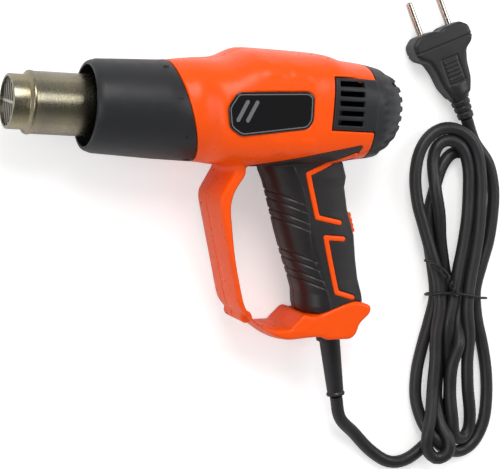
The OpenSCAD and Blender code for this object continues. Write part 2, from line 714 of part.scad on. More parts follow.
module grip_left() { grip_half(1); }
module grip_right() { grip_half(-1); }

// Thumb slider, shown in its lowest position, off
module switch_slider() {
    color(black) lying() at_switch() translate([0, -switch_travel, 0]) difference() {
        union() {
            translate([-3.9, -switch_len / 2, -switch_w / 2]) cube([6.3, switch_len, switch_w]);
            translate([-6.5, -2, -1.5]) cube([3, 4, 3]);
        }
        for (i = [-1:1]) translate([2, i * 3 - 0.5, -6]) cube([1, 1, 12]);
    }
}

// Three-position switch under the slider
module switch_body() {
    color("#303034") lying() at_switch() difference() {
        translate([-17, -switch_travel - 9, -switch_half]) cube([11.6, switch_travel + 18, 2 * switch_half]);
        translate([-7.5, -switch_travel - 3, -2.5]) cube([5, switch_travel + 6, 5]);
    }
}

// Board with the diode for the low heat, on the switch's terminals
module control_board() {
    color("#2f6b3a") lying() at_switch() {
        translate([-19, -20, -8]) cube([1.6, 28, 16]);
        translate([-22.4, -14, -2.5]) cube([3.4, 8, 5]);
        translate([-22, 1, -3]) cube([3, 5, 6]);
    }
}

// Insulated wires from the terminal block up the handle towards the motor and the heater
module wiring() {
    foot_x = base_x + 13;
    color("#b02a26") lying() for (z = [-5, 5]) swept([[foot_x, handle_base + 13.2, z],
        [foot_x - 3, handle_base + 26, z], [grip_root_x + 24, grip_top - 20, z],
        [grip_root_x + 24, grip_top - 8, z], [grip_root_x + 26, grip_top + 6, z]], 1.1, 8);
}

// Screw terminals that join the cord's cores to the wires
module terminal_block() {
    block_w = grip_w - 2 * (grip_skin + shell_wall + fit_gap);
    color("#ece8dc") lying() translate([base_x + 8, handle_base + 2, -block_w / 2]) difference() {
        cube([10, 11, block_w]);
        for (z = [-5, 5]) translate([5, -1, block_w / 2 + z]) rotate([-90, 0, 0]) cylinder(h = 13, r = 1.3);
    }
}

// Frame of the cord's way out of the base
module at_exit() {
    translate([exit_x, base_y, 0]) rotate([0, 0, exit_turn]) children();
}

// Bar that holds the cord down in the base
module cord_clamp() {
    color("#3a3a3e") lying() at_exit() difference() {
        translate([-4, 8.6, -clamp_half]) cube([8, 5, 2 * clamp_half]);
        translate([0, 5, 0]) rotate([-90, 0, 0]) cylinder(h = 12, r = cord_r + fit_gap);
        for (s = [-1, 1]) translate([-6, 11.1, s * 7.4]) rotate([0, 90, 0]) cylinder(h = 14, r = 1.2);
    }
}

// Screws of the cord clamp
module clamp_screws() {
    color(steel) lying() at_exit() for (s = [-1, 1]) translate([0, 11.1, s * 7.4]) rotate([0, 90, 0]) {
        translate([0, 0, -4.2]) cylinder(h = 8.8, r = 1.1);
        translate([0, 0, 4.1]) cylinder(h = 1.4, r = 2);
    }
}

// Tapered rubber boot with a collar caught in the base and a small lip at its tip
module cord_sleeve() {
    color(black) lying() at_exit() rotate([90, 0, 0]) rotate_extrude() polygon([
        [cord_r + shaft_gap, -5.2], [boot_r - 1.5, -5.2], [boot_r + 0.6, -5.2], [boot_r + 0.6, -3.2],
        [boot_r - 1.5, -3.2], [boot_r - 1.5, 0.3], [boot_r + 1.6, 0.3], [boot_r + 1.6, 2], [boot_r, 3],
        [boot_tip_r, boot_len - 2], [boot_tip_r + 0.6, boot_len - 1],
        [boot_tip_r + 0.4, boot_len], [cord_r + shaft_gap, boot_len]]);
}

// Cord inside the boot and the base
module cord_entry() {
    color(black) lying() at_exit() translate([0, -boot_len, 0]) rotate([-90, 0, 0])
        cylinder(h = boot_len + 15, r = cord_r);
}

// Tube swept along points, with its rings square to the route
module swept(points, r, sides) {
    last = len(points) - 1;
    dirs = [for (i = [0:last]) let (d = points[min(i + 1, last)] - points[max(i - 1, 0)]) d / norm(d)];
    pts = [for (i = [0:last]) let (u = cross(dirs[i], [0, 0, 1]), a = u / norm(u), b = cross(a, dirs[i]))
        for (j = [0:sides - 1]) points[i] + r * (cos(360 * j / sides) * a + sin(360 * j / sides) * b)];
    walls = [for (i = [0:last - 1]) for (j = [0:sides - 1])
        let (p = i * sides + j, q = i * sides + (j + 1) % sides) each [[p, q, q + sides], [p, q + sides, p + sides]]];
    polyhedron(pts, concat(walls, [[for (j = [sides - 1:-1:0]) j]], [[for (j = [0:sides - 1]) last * sides + j]]));
}

module cord_lead() { color(black) on_table() swept(lead_points, cord_r, 10); }
module cord_tail() { color(black) on_table() swept(tail_points, cord_r, 10); }

// Outer shape of the hank's loops
module cord_hank() {
    color(black) on_table() linear_extrude(height = hank_h)
        polygon(concat(hank_top, hank_waist, hank_foot, hank_left));
}

// Wire twisted round the hank's waist
module cord_tie() {
    color("#1b1b1d") on_table() translate([281, tie_y, 0]) difference() {
        translate([-19, -1, 0]) cube([38, 2, hank_h + 1]);
        translate([-17.6, -2, -1]) cube([35.2, 4, hank_h + 1.1]);
    }
}

// Frame of the plug: Y along its axis towards the pins, origin where the cord leaves it
module at_plug() {
    on_table() translate([plug_at[0], plug_at[1], plug_h / 2]) rotate([0, 0, plug_turn]) children();
}

// Moulded plug: grooved cord end, waist and flange
module plug_body() {
    color(black) at_plug() {
        difference() {
            rotate([-90, 0, 0]) cylinder(h = 18, r1 = 4.8, r2 = 6.4, $fn = 24);
            for (i = [0:2]) translate([0, 3 + i * 4.5, 0]) rotate([-90, 0, 0]) difference() {
                cylinder(h = 1.4, r = 9);
                translate([0, 0, -1]) cylinder(h = 4, r = 4.6);
            }
        }
        translate([0, 0, -plug_h / 2]) linear_extrude(height = plug_h) polygon([[-6.5, 16], [6.5, 16],
            [10, 24], [11.5, 34], [15, 40], [19, 45], [18.5, 51], [14, plug_len], [3, plug_len],
            [0, plug_len - 1.5], [-3, plug_len], [-14, plug_len], [-18.5, 51], [-19, 45], [-15, 40],
            [-11.5, 34], [-10, 24]]);
    }
}

// Two plug pins, half sleeved
module plug_pins() {
    color(steel) at_plug() for (s = [-1, 1]) translate([s * pin_pitch / 2, plug_len + 0.3, 0])
        rotate([-90, 0, 0]) {
            translate([0, 0, -6.3]) cylinder(h = 6.8, r = pin_d / 2 - 0.4);
            cylinder(h = pin_len, r = pin_d / 2);
            translate([0, 0, pin_len]) cylinder(h = 1, r1 = pin_d / 2, r2 = pin_d / 2 - 0.9);
        }
}

nozzle_tube();
nozzle_grille();
front_sleeve();
mica_tube();
heater_core();
heating_coils();
heater_mount();
thermal_fuse();
air_duct();
fan_wheel();
motor_shaft();
motor_can();
motor_armature();
motor_end_cap();
motor_mount();
housing_left();
housing_right();
housing_screws();
rear_cap();
badge_left();
badge_right();
grip_left();
grip_right();
switch_slider();
switch_body();
control_board();
wiring();
terminal_block();
cord_clamp();
clamp_screws();
cord_sleeve();
cord_entry();
cord_lead();
cord_hank();
cord_tail();
cord_tie();
plug_body();
plug_pins();
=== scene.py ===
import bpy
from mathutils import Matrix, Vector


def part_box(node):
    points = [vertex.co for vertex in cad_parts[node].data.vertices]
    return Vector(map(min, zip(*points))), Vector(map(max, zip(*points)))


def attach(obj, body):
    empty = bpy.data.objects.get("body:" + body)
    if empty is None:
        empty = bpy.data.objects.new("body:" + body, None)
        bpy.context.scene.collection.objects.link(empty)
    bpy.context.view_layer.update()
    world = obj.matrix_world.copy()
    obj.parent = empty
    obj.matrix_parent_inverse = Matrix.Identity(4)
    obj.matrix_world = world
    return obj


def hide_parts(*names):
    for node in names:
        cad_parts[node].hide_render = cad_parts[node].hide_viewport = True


bl_info = {
    "name": "Hot-air gun",
    "version": (1, 0, 0),
    "blender": (4, 5, 0),
    "location": "View3D > Sidebar > Hot-air gun",
    "description": "Moulded casing, steel nozzle and tied mains cord of a hot-air gun around its CAD frame",
    "category": "Object",
}

from math import atan, cos, pi, radians, sin, tan

import bpy
import numpy as np
from bpy.props import FloatProperty, FloatVectorProperty, IntProperty, PointerProperty
from bpy.types import Operator, Panel, PropertyGroup
from mathutils import Matrix, Vector

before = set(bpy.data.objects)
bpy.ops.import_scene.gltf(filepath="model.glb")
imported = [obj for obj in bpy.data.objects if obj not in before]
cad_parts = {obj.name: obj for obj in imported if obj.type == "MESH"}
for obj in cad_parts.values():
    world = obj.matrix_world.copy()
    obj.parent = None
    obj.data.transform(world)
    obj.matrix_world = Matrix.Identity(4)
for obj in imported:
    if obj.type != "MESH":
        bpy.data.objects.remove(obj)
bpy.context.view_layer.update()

MM = 0.001

# ---------------------------------------------------------------- places

# The gun's own frame, in mm: X runs back from the nozzle's mouth, Y up and Z to the left. The nozzle
# tube turns about its X axis, so the tube's box gives where that frame lies in the row frame.
TUBE_LOW, TUBE_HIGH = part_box("nozzle_tube")
MOUTH = TUBE_LOW.x / MM
AXIS_Y = (TUBE_LOW.y + TUBE_HIGH.y) / 2 / MM
AXIS_Z = (TUBE_LOW.z + TUBE_HIGH.z) / 2 / MM

NOZZLE_R = 17.0
X_SLEEVE = 44.0
X_JOINT = 97.0
X_CAP = 201.0
X_END = 227.0
SLEEVE_R = 27.5
SLANT = tan(radians(18))
WALL = 2.5
HALF_W = 36.0
GUARD_HALF = 20.0
BASE_Y = -122.0
GRIP_TOP = -31.0
GRIP_ROOT_X = 148.0
GRIP_LEN = 73.0
RAKE = tan(radians(19))
TILT = atan((HALF_W - GUARD_HALF) / (-BASE_Y - 9))
CORD_D = 7.2
PLUG_AT = (284.0, 7.0, 7.5)
PLUG_TURN = radians(24)
PLUG_LEN = 54.6

# Cross-sections of the body and of the cap: x, top, bottom, half width, power, slant
BODY_RINGS = [
    (97, 27.5, -27.5, 27.5, 2.0, 0.325), (106, 28.7, -27.5, 29.5, 2.1, 0.195),
    (111, 29.5, -28, 35, 2.4, 0.0975), (118, 30.5, -28, 36, 2.8, 0), (130, 36.6, -28, 36, 3.0, 0),
    (142, 36.6, -27, 36, 3.2, 0), (164, 36.2, -25.2, 36, 3.2, 0), (171, 36.0, -24.6, 34.7, 3.2, 0),
    (178, 35.8, -24, 34.6, 3.2, 0), (187, 33, -23, 34.6, 3.0, 0), (201, 31.8, -21, 33.4, 2.8, 0)]
CAP_RINGS = [
    (201, 31.8, -21, 33.4, 2.8, 0), (208.8, 30.6, -20, 31.5, 2.6, 0), (214, 28.8, -16.5, 28, 2.5, 0),
    (219.2, 26.1, -12.5, 23, 2.4, 0), (223.1, 22.6, -8, 17, 2.3, 0), (225.7, 18.1, -2.5, 11, 2.2, 0),
    (227, 13.1, 3, 5, 2.0, 0)]
# Levels of the handle: share of its height, front offset, length, half width
GRIP_LEVELS = [
    (0, 0, 49, 19.5), (0.08, 1, 45.5, 19), (0.26, 1, 44, 18.5), (0.45, 1, 44.5, 18.5),
    (0.63, 1.5, 41.5, 18.5), (0.78, 2.5, 39, 18.8), (0.9, 3, 38.5, 19.5), (1, 1.5, 39, 20)]
GUARD_OUTER = [(127.5, -24), (117.5, -44), (117.5, -49), (134.5, -108), (158.5, -123), (166.5, -124),
               (190.5, -120.5), (190.5, -110)]
GUARD_INNER = [(179.5, -106), (173.5, -114.5), (150.6, -116), (140.1, -106), (132.1, -79),
               (126.1, -45.5), (135.5, -30)]
BASE_OUTLINE = [(166.6, -115.5), (174.1, -107.5), (180.1, -109.5), (196.6, -101.5), (204.1, -99.5),
                (213.6, -101.5), (213.6, -106), (207.6, -112), (206.1, -118), (203.1, -121),
                (188.6, -122), (184.6, -120), (166.6, -119)]
BADGE_OUTLINE = [(113, 6), (118, 14.5), (159, 17), (162.5, 14.5), (163, 1), (160, -3.5), (122, -9.5),
                 (115, -5)]
SADDLE_OUTLINE = [(133, -31), (133.5, -28.3), (139.5, -25.2), (195.5, -11), (193.5, -20.3),
                  (188.5, -23), (186, -36), (136, -36)]
CHEVRONS = [[(193, -17), (169, -29.5), (177, -53.5), (191, -56)],
            [(194, -65), (183, -64.5), (192, -95), (202, -97.5)]]
SCREW_PLACES = [(134, 29), (181, 29), (127, -37), (141.5, -111), (166.5, -36), (187.4, -113)]
SLIDER_AT = (199.035, -49.98)

# The cord's middle line from the boot's tip through the hank to the plug, in mm on the table
CORD_ROUTE = [
    (205, -155.5, 15), (209.5, -168, 11), (220, -176.5, 6.5), (231.5, -186.5, 4),
    (243.5, -193, 3.5), (255, -191.5, 3.5), (267, -182.5, 3.5), (277.5, -171.5, 3.5),
    (280.5, -157.5, 3.5), (280, -142, 4), (277, -127.5, 7), (275.5, -113, 10.5), (278, -98, 10.5),
    (280.5, -82.5, 10), (283.5, -67.5, 9.5), (285.5, -52, 9.5), (286, -36.5, 9.5), (285, -21.5, 10),
    (280.5, -10.5, 10.5), (273, -6.5, 9.5), (266, -10, 8.5), (263.5, -19.5, 8),
    (264.5, -34.5, 10.5), (268, -49.5, 9.5), (271, -64, 5.5), (274.5, -79, 3.5), (277.5, -94, 3.5),
    (275.5, -109.5, 3.5), (271, -124, 3.5), (272.5, -139.5, 3.5), (272, -155, 4.5),
    (273, -169.5, 8.5), (277, -179.5, 13), (276.5, -187, 13.5), (270.5, -190.5, 11.5),
    (264.5, -186, 12), (263, -177.5, 14), (265.5, -164, 12.5), (267, -149, 10.5),
    (268, -133.5, 10.5), (268, -118, 10.5), (270, -102.5, 10.5), (268.5, -87.5, 10.5),
    (263.5, -73, 10.5), (258.5, -58, 10), (254, -43.5, 9.5), (252, -28, 9.5), (254.5, -13.5, 9.5),
    (261.5, -3.5, 10), (271.5, 0.5, 10.5), (282, -2.5, 11), (289.5, -11.5, 11), (293, -26.5, 10.5),
    (293.5, -41.5, 10.5), (293, -57, 10.5), (291, -72.5, 10.5), (288.5, -87.5, 10.5),
    (287, -103, 11), (289, -118.5, 10.5), (288.5, -133.5, 10), (289.5, -149, 9.5),
    (292.5, -163.5, 7), (293, -173.5, 5), (288.5, -179, 6), (282.5, -177, 8.5), (280, -167.5, 10.5),
    (278, -152.5, 10.5), (278, -137, 12), (281.5, -124, 13), (283, -111.5, 6.5), (286, -96.5, 4),
    (287.5, -81.5, 3.5), (291, -66.5, 3.5), (293.5, -51, 3.5), (294, -35.5, 3.5), (292, -21.5, 3.5),
    (286.5, -14, 3.5), (278, -13.5, 3.5), (271.5, -21, 3.5), (267, -35, 3.5), (264, -50, 3.5),
    (264.5, -65.5, 3.5), (267.5, -80.5, 3.5), (269.5, -96, 3.5), (266.5, -111, 3.5),
    (262.5, -126, 3.5), (259.5, -141, 3.5), (259.5, -156.5, 3.5), (263.5, -170.5, 6),
    (269.5, -179.5, 10), (277.5, -185, 6.5), (288, -186.5, 4), (297, -181, 3.5), (303, -169, 3.5),
    (304.5, -154, 3.5), (303.5, -138.5, 3.5), (300.5, -123.5, 3.5), (296.5, -108.5, 3.5),
    (295, -93, 3.5), (298.5, -78, 3.5), (302.5, -63.5, 3.5), (304.5, -48, 3.5), (304.5, -32.5, 3.5),
    (300.5, -18, 3.5), (291, -6, 4), (284, 7, 7.5),
]


def gun_matrix():
    """Takes the gun's frame in mm to the row frame in metres."""
    lying = Matrix.Rotation(TILT, 4, "X")
    return Matrix.Translation(Vector((MOUTH, AXIS_Y, AXIS_Z)) * MM) @ lying @ Matrix.Scale(MM, 4)


def table_matrix(at=(0, 0, 0), turn=0):
    """Takes a piece that lies on the table, in mm, to the row frame in metres."""
    place = Vector((at[0] + MOUTH, at[1] + AXIS_Y, at[2])) * MM
    return Matrix.Translation(place) @ Matrix.Rotation(turn, 4, "Z") @ Matrix.Scale(MM, 4)


# ---------------------------------------------------------------- distance fields

def outline_distance(points, x, y):
    """Distance to a closed outline, negative inside."""
    near = np.float32(1e9)
    inside = False
    for (ax, ay), (bx, by) in zip(points, points[1:] + points[:1]):
        dx, dy = bx - ax, by - ay
        share = np.clip(((x - ax) * dx + (y - ay) * dy) / (dx * dx + dy * dy), 0, 1)
        near = np.minimum(near, (x - ax - share * dx) ** 2 + (y - ay - share * dy) ** 2)
        if dy:
            inside = inside ^ (((ay > y) != (by > y)) & (x < ax + dx * (y - ay) / dy))
    return np.where(inside, -1, 1) * np.sqrt(near)


def path_distance(points, x, y):
    """Distance to an open path."""
    near = np.float32(1e9)
    for (ax, ay), (bx, by) in zip(points, points[1:]):
        dx, dy = bx - ax, by - ay
        share = np.clip(((x - ax) * dx + (y - ay) * dy) / (dx * dx + dy * dy), 0, 1)
        near = np.minimum(near, (x - ax - share * dx) ** 2 + (y - ay - share * dy) ** 2)
    return np.sqrt(near)


def rounded(points, radius, steps=5):
    """An outline whose corners are rounded, all alike or each by its own radius."""
    out = []
    radii = radius if isinstance(radius, list) else [radius] * len(points)
    for before, at, after, radius in zip(points[-1:] + points[:-1], points, points[1:] + points[:1], radii):
        at = Vector(at)
        to_a, to_b = Vector(before) - at, Vector(after) - at
        reach = min(radius, to_a.length * 0.48, to_b.length * 0.48)
        a, b = at + to_a.normalized() * reach, at + to_b.normalized() * reach
        for i in range(steps + 1):
            t = i / steps
            out.append(tuple(a * (1 - t) ** 2 + at * 2 * t * (1 - t) + b * t * t))
    return out


def joined(a, b, r):
    """Union of two fields with a fillet."""
    h = np.clip(0.5 + 0.5 * (b - a) / r, 0, 1)
    return b + (a - b) * h - r * h * (1 - h)


def cut(a, b, r=0.6):
    """What two fields share, with a rounded edge."""
    return -joined(-a, -b, r)


class Loft:
    """Field of a body lofted through superellipse rings, with eased changes from ring to ring."""

    def __init__(self, rings, ease=2.5):
        rings = np.array(rings, float)
        step = 0.5
        self.x = np.arange(rings[0, 0], rings[-1, 0] + step, step)
        reach = int(3 * ease / step)
        window = np.exp(-0.5 * (np.arange(-reach, reach + 1) * step / ease) ** 2)
        window /= window.sum()
        self.tables = []
        for column in rings.T[1:]:
            values = np.pad(np.interp(self.x, rings[:, 0], column), reach, "reflect", reflect_type="odd")
            self.tables.append(np.convolve(values, window, "valid"))

    def at(self, x):
        return [np.interp(x, self.x, t).astype(np.float32) for t in self.tables]

    def __call__(self, x, y, z, inset=0):
        station = x + np.interp(x, self.x, self.tables[4]) * y
        top, bottom, half, power, _ = self.at(station)
        middle = (top + bottom) / 2
        u = np.abs(y - middle) / np.maximum((top - bottom) / 2 - inset, 0.5)
        v = np.abs(z) / np.maximum(half - inset, 0.5)
        ring = np.maximum((u ** power + v ** power) ** (1 / power), 1e-3)
        reach = np.sqrt((y - middle) ** 2 + z * z)
        return reach - reach / ring


BODY = Loft(BODY_RINGS)
DOME = Loft(CAP_RINGS, 1.5)


def grip_field(x, y, z, inset=0):
    """Field of the handle's rounded outside."""
    share, offset, length, half = np.array(GRIP_LEVELS, float).T
    level = np.clip((GRIP_TOP - y) / GRIP_LEN, -0.2, 1.2)
    a = np.interp(level, share, length) / 2
    centre = GRIP_ROOT_X + level * GRIP_LEN * RAKE + np.interp(level, share, offset) + a
    u = np.abs(x - centre) / (a - inset)
    v = np.abs(z) / (np.interp(level, share, half) - inset)
    ring = np.maximum((u ** 2.6 + v ** 2.6) ** (1 / 2.6), 1e-3)
    reach = np.sqrt((x - centre) ** 2 + z * z)
    return cut(reach - reach / ring, np.abs(y - (GRIP_TOP - GRIP_LEN / 2)) - GRIP_LEN / 2 - 8)


def slider_frame(x, y):
    """Distances out of the handle's back and up along it, from the switch's middle."""
    turn = radians(19)
    dx, dy = x - SLIDER_AT[0], y - SLIDER_AT[1]
    return dx * cos(turn) + dy * sin(turn), dy * cos(turn) - dx * sin(turn)


def slab(*ranges):
    """Field of a block from pairs of a coordinate's array with its low and high ends."""
    out = np.float32(-1e9)
    for values, low, high in ranges:
        out = np.maximum(out, np.abs(values - (low + high) / 2) - (high - low) / 2)
    return out


def carve(name, field, low, high, cell, matrix):
    """A closed mesh of the space where the field is negative, with one vertex in each cell that the
    surface crosses, moved onto the surface."""
    axes = [np.arange(a - cell, b + 2 * cell, cell, dtype=np.float32) for a, b in zip(low, high)]
    value = np.array(np.broadcast_to(field(*np.meshgrid(*axes, indexing="ij", sparse=True)),
                                     [len(a) for a in axes]), dtype=np.float32)
    for side in (0, -1):
        value[side], value[:, side], value[:, :, side] = 1, 1, 1
    quads, crossings = [], []
    for axis in range(3):
        start, stop = [slice(None)] * 3, [slice(None)] * 3
        start[axis], stop[axis] = slice(None, -1), slice(1, None)
        near, far = value[tuple(start)], value[tuple(stop)]
        place = np.argwhere((near < 0) != (far < 0))
        a, b = near[tuple(place.T)], far[tuple(place.T)]
        crossing = place.astype(float)
        crossing[:, axis] += a / (a - b)
        corners = []
        for du, dv in ((0, 0), (1, 0), (1, 1), (0, 1)):
            corner = place.copy()
            corner[:, (axis + 1) % 3] -= du
            corner[:, (axis + 2) % 3] -= dv
            corners.append(np.ravel_multi_index(corner.T, value.shape))
        quad = np.stack(corners, 1)
        quads.append(np.where((a < 0)[:, None], quad, quad[:, ::-1]))
        crossings.append(crossing)
    quads, crossings = np.concatenate(quads), np.concatenate(crossings)
    _, index = np.unique(quads, return_inverse=True)
    index = index.reshape(quads.shape)
    count = np.bincount(index.ravel())
    points = np.stack([np.bincount(index.ravel(), np.repeat(crossings[:, k], 4)) / count
                       for k in range(3)], 1)
    points = points * cell + np.array(low) - cell
    step = 0.05
    here = field(*points.T)
    slope = np.stack([(field(*(points + step * np.eye(3)[k]).T) - here) / step for k in range(3)], 1)
    move = -here[:, None] * slope / np.maximum((slope ** 2).sum(1), 0.2)[:, None]
    points += np.clip(move, -0.3 * cell, 0.3 * cell)
    return mesh_object(name, points, index, matrix)


def mesh_object(name, points, faces, matrix=None):
    """A smooth mesh object whose place is in its mesh."""
    mesh = bpy.data.meshes.new(name)
    mesh.from_pydata(np.asarray(points).tolist(), [], np.asarray(faces).tolist()
                     if isinstance(faces, np.ndarray) else faces)
    if matrix is not None:
        mesh.transform(matrix)
    mesh.shade_smooth()
    mesh.update()
    obj = bpy.data.objects.new(name, mesh)
    bpy.context.scene.collection.objects.link(obj)
    return obj


def turned(name, profile, sides, matrix, end_slope=0):
    """A closed ring turned about X from its [x, r, slant] profile."""
    points, faces = [], []
    count = len(profile)
    for i in range(sides):
        angle = 2 * pi * i / sides
        for x, r, slant in profile:
            y, z = r * cos(angle), r * sin(angle)
            points.append((x - slant * y, y, z))
        for j in range(count):
            a, b = i * count + j, i * count + (j + 1) % count
            c, d = ((i + 1) % sides) * count + (j + 1) % count, ((i + 1) % sides) * count + j
            faces.append((a, b, c, d))
    return mesh_object(name, points, faces, matrix)


def bevelled(obj, width, segments=3, angle=35):
    """Rounds a piece's hard edges for good."""
    bevel = obj.modifiers.new("edges", "BEVEL")
    bevel.width, bevel.segments = width, segments
    bevel.limit_method, bevel.angle_limit = "ANGLE", radians(angle)
    bevel.harden_normals = True
    return settled(obj)


def settled(obj):
    """Puts the result of a piece's modifiers in its mesh and removes them."""
    evaluated = obj.evaluated_get(bpy.context.evaluated_depsgraph_get())
    mesh = bpy.data.meshes.new_from_object(evaluated)
    obj.modifiers.clear()
    if obj.type == "MESH":
        obj.data = mesh
        return obj
    name = obj.name
    bpy.data.objects.remove(obj)
    new = bpy.data.objects.new(name, mesh)
    bpy.context.scene.collection.objects.link(new)
    return new


def placed(obj, body, finish, slot_name, *nodes):
    """Gives a finished piece its body and its finish, and hides the CAD nodes that it stands for; its slot
    name is not used.
    """
    obj.data.materials.clear()
    obj.data.materials.append(finish)
    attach(obj, body)
    if nodes:
        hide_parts(*nodes)
    return obj


# ---------------------------------------------------------------- finishes

class Wire:
    """A node's output that takes part in sums."""

    def __init__(self, finish, socket):
        self.finish, self.socket = finish, socket

    def maths(self, operation, *values):
        return self.finish.node("ShaderNodeMath", {"operation": operation}, dict(enumerate(values)))

    def __add__(self, other): return self.maths("ADD", self, other)
    def __radd__(self, other): return self.maths("ADD", other, self)
    def __sub__(self, other): return self.maths("SUBTRACT", self, other)
    def __rsub__(self, other): return self.maths("SUBTRACT", other, self)
    def __mul__(self, other): return self.maths("MULTIPLY", self, other)
    def __rmul__(self, other): return self.maths("MULTIPLY", other, self)
    def __truediv__(self, other): return self.maths("DIVIDE", self, other)
    def __pow__(self, other): return self.maths("POWER", self, other)
    def __lt__(self, other): return self.maths("LESS_THAN", self, other)
    def __gt__(self, other): return self.maths("GREATER_THAN", self, other)


class Finish:
    """A material built from nodes."""

    def __init__(self, name):
        self.material = bpy.data.materials.new(name)
        self.material.use_nodes = True
        self.tree = self.material.node_tree
        self.tree.nodes.clear()

    def node(self, kind, settings=None, inputs=None, output=0):
        """Adds a node: its settings first, then the values or links of its sockets."""
        node = self.tree.nodes.new(kind)
        for key, value in (settings or {}).items():
            if key == "stops":
                ramp = node.color_ramp
                while len(ramp.elements) < len(value):
                    ramp.elements.new(0.5)
                for element, (at, colour) in zip(ramp.elements, value):
                    element.position = at
                    element.color = (*colour, 1) if isinstance(colour, tuple) else (colour,) * 3 + (1,)
            else:
                setattr(node, key, value)
        for key, value in (inputs or {}).items():
            socket = node.inputs[key]
            if isinstance(value, Wire):
                self.tree.links.new(value.socket, socket)
            elif hasattr(socket.default_value, "__len__") and len(value) == 3 \
                    and len(socket.default_value) == 4:
                socket.default_value = (*value, 1)
            else:
                socket.default_value = value
        return Wire(self, node.outputs[output])

    def place(self):
        return self.node("ShaderNodeTexCoord", output="Object")

    def split(self, vector):
        whole = self.node("ShaderNodeSeparateXYZ", None, {0: vector})
        return [Wire(self, socket) for socket in whole.socket.node.outputs]

    def noise(self, scale, detail=2.0, roughness=0.5, vector=None):
        return self.node("ShaderNodeTexNoise", None, {
            "Vector": vector or self.place(), "Scale": scale, "Detail": detail, "Roughness": roughness})

    def stretched(self, scale, turn=(0, 0, 0)):
        return self.node("ShaderNodeMapping", None, {
            "Vector": self.place(), "Rotation": turn, "Scale": scale})

    def ramp(self, value, *stops):
        return self.node("ShaderNodeValToRGB", {"stops": stops}, {0: value})

    def between(self, value, low, high, out_low=0.0, out_high=1.0):
        return self.node("ShaderNodeMapRange", None, {
            "Value": value, "From Min": low, "From Max": high, "To Min": out_low, "To Max": out_high})

    def mix(self, share, a, b):
        node = self.tree.nodes.new("ShaderNodeMix")
        node.data_type = "RGBA"
        for key, value in ((0, share), (6, a), (7, b)):
            if isinstance(value, Wire):
                self.tree.links.new(value.socket, node.inputs[key])
            else:
                node.inputs[key].default_value = (*value, 1) if key else value
        return Wire(self, node.outputs[2])

    def bump(self, height, distance, strength=1.0, normal=None):
        inputs = {"Height": height, "Distance": distance, "Strength": strength}
        if normal:
            inputs["Normal"] = normal
        return self.node("ShaderNodeBump", None, inputs)

    def surface(self, **values):
        """The shader itself, from sockets named with underscores."""
        inputs = {key.replace("_", " "): value for key, value in values.items()}
        shader = self.node("ShaderNodeBsdfPrincipled", None, inputs)
        self.node_output(shader)
        return self.material

    def node_output(self, shader):
        out = self.tree.nodes.new("ShaderNodeOutputMaterial")
        self.tree.links.new(shader.socket, out.inputs["Surface"])


def shade(colour, factor):
    return tuple(min(1.0, c * factor) for c in colour)


def moulded(name, colour, roughness=0.34, grain=0.00003, grain_scale=2600, specular=0.5, coat=0.0):
    """Moulded plastic: a faint uneven colour, a fine spark-eroded grain and slight sink marks."""
    f = Finish(name)
    tone = f.mix(f.noise(38, 3), shade(colour, 0.94), shade(colour, 1.05))
    rough = f.between(f.noise(160, 4), 0.3, 0.7, roughness - 0.04, roughness + 0.05)
    sink = f.bump(f.noise(55, 1), 0.0004, 0.35)
    skin = f.bump(f.noise(grain_scale, 2), grain, 1.0, sink)
    return f.surface(Base_Color=tone, Roughness=rough, Normal=skin, Specular_IOR_Level=specular,
                     Coat_Weight=coat, Coat_Roughness=0.12)


def metal(name, colour, roughness=0.3, streak=(60, 900, 900)):
    """Drawn or turned metal with fine streaks along it."""
    f = Finish(name)
    lines = f.noise(1.0, 3, 0.6, f.stretched(streak))
    tone = f.mix(lines, shade(colour, 0.82), shade(colour, 1.15))
    rough = f.between(lines, 0.3, 0.7, roughness - 0.06, roughness + 0.1)
    return f.surface(Base_Color=tone, Roughness=rough, Metallic=1.0,
                     Normal=f.bump(lines, 0.00002, 0.6))


def nozzle_steel(colour):
    """Stainless tube, heat-tinted from the mouth back, with turning marks round it."""
    f = Finish("nozzle_steel")
    x, y, z = f.split(f.place())[:3]
    along = (x - MOUTH * MM) / ((X_SLEEVE + 4) * MM)
    cloudy = along + (f.noise(45, 3) - 0.5) * 0.35
    tint = f.ramp(cloudy, (0.0, shade(colour, 1.25)), (0.16, (0.36, 0.31, 0.2)), (0.34, shade(colour, 0.95)),
                  (0.62, (0.32, 0.29, 0.2)), (1.0, shade(colour, 0.7)))
    rings = f.noise(1.0, 2, 0.5, f.stretched((5200, 40, 40)))
    specks = f.noise(700, 3, 0.7)
    rough = f.between(rings + specks, 0.7, 1.3, 0.22, 0.36)
    return f.surface(Base_Color=tint, Roughness=rough, Metallic=1.0, Normal=f.bump(rings, 0.00002, 0.5))


def grip_rubber(colour):
    """Soft grip: glossier where the fingers go, matt with a fine grain elsewhere."""
    f = Finish("grip_rubber")
    gloss = f.node("ShaderNodeAttribute", {"attribute_name": "gloss"}, output="Fac")
    tone = f.mix(f.noise(60, 3), shade(colour, 0.8), shade(colour, 1.25))
    rough = f.between(gloss, 0, 1, 0.52, 0.3) + (f.noise(220, 3) - 0.5) * 0.12
    grain = f.bump(f.noise(3200, 2), 0.00005, 0.9)
    return f.surface(Base_Color=tone, Roughness=rough, Normal=grain, Specular_IOR_Level=0.5)


def cord_skin(name, colour):
    """Extruded cord sheath, with the faint lay of the cores and a dusty bloom."""
    f = Finish(name)
    tone = f.mix(f.noise(90, 4), shade(colour, 0.75), shade(colour, 1.35))
    rough = f.between(f.noise(300, 3), 0.3, 0.7, 0.36, 0.5)
    return f.surface(Base_Color=tone, Roughness=rough, Normal=f.bump(f.noise(900, 3), 0.00005, 0.8))


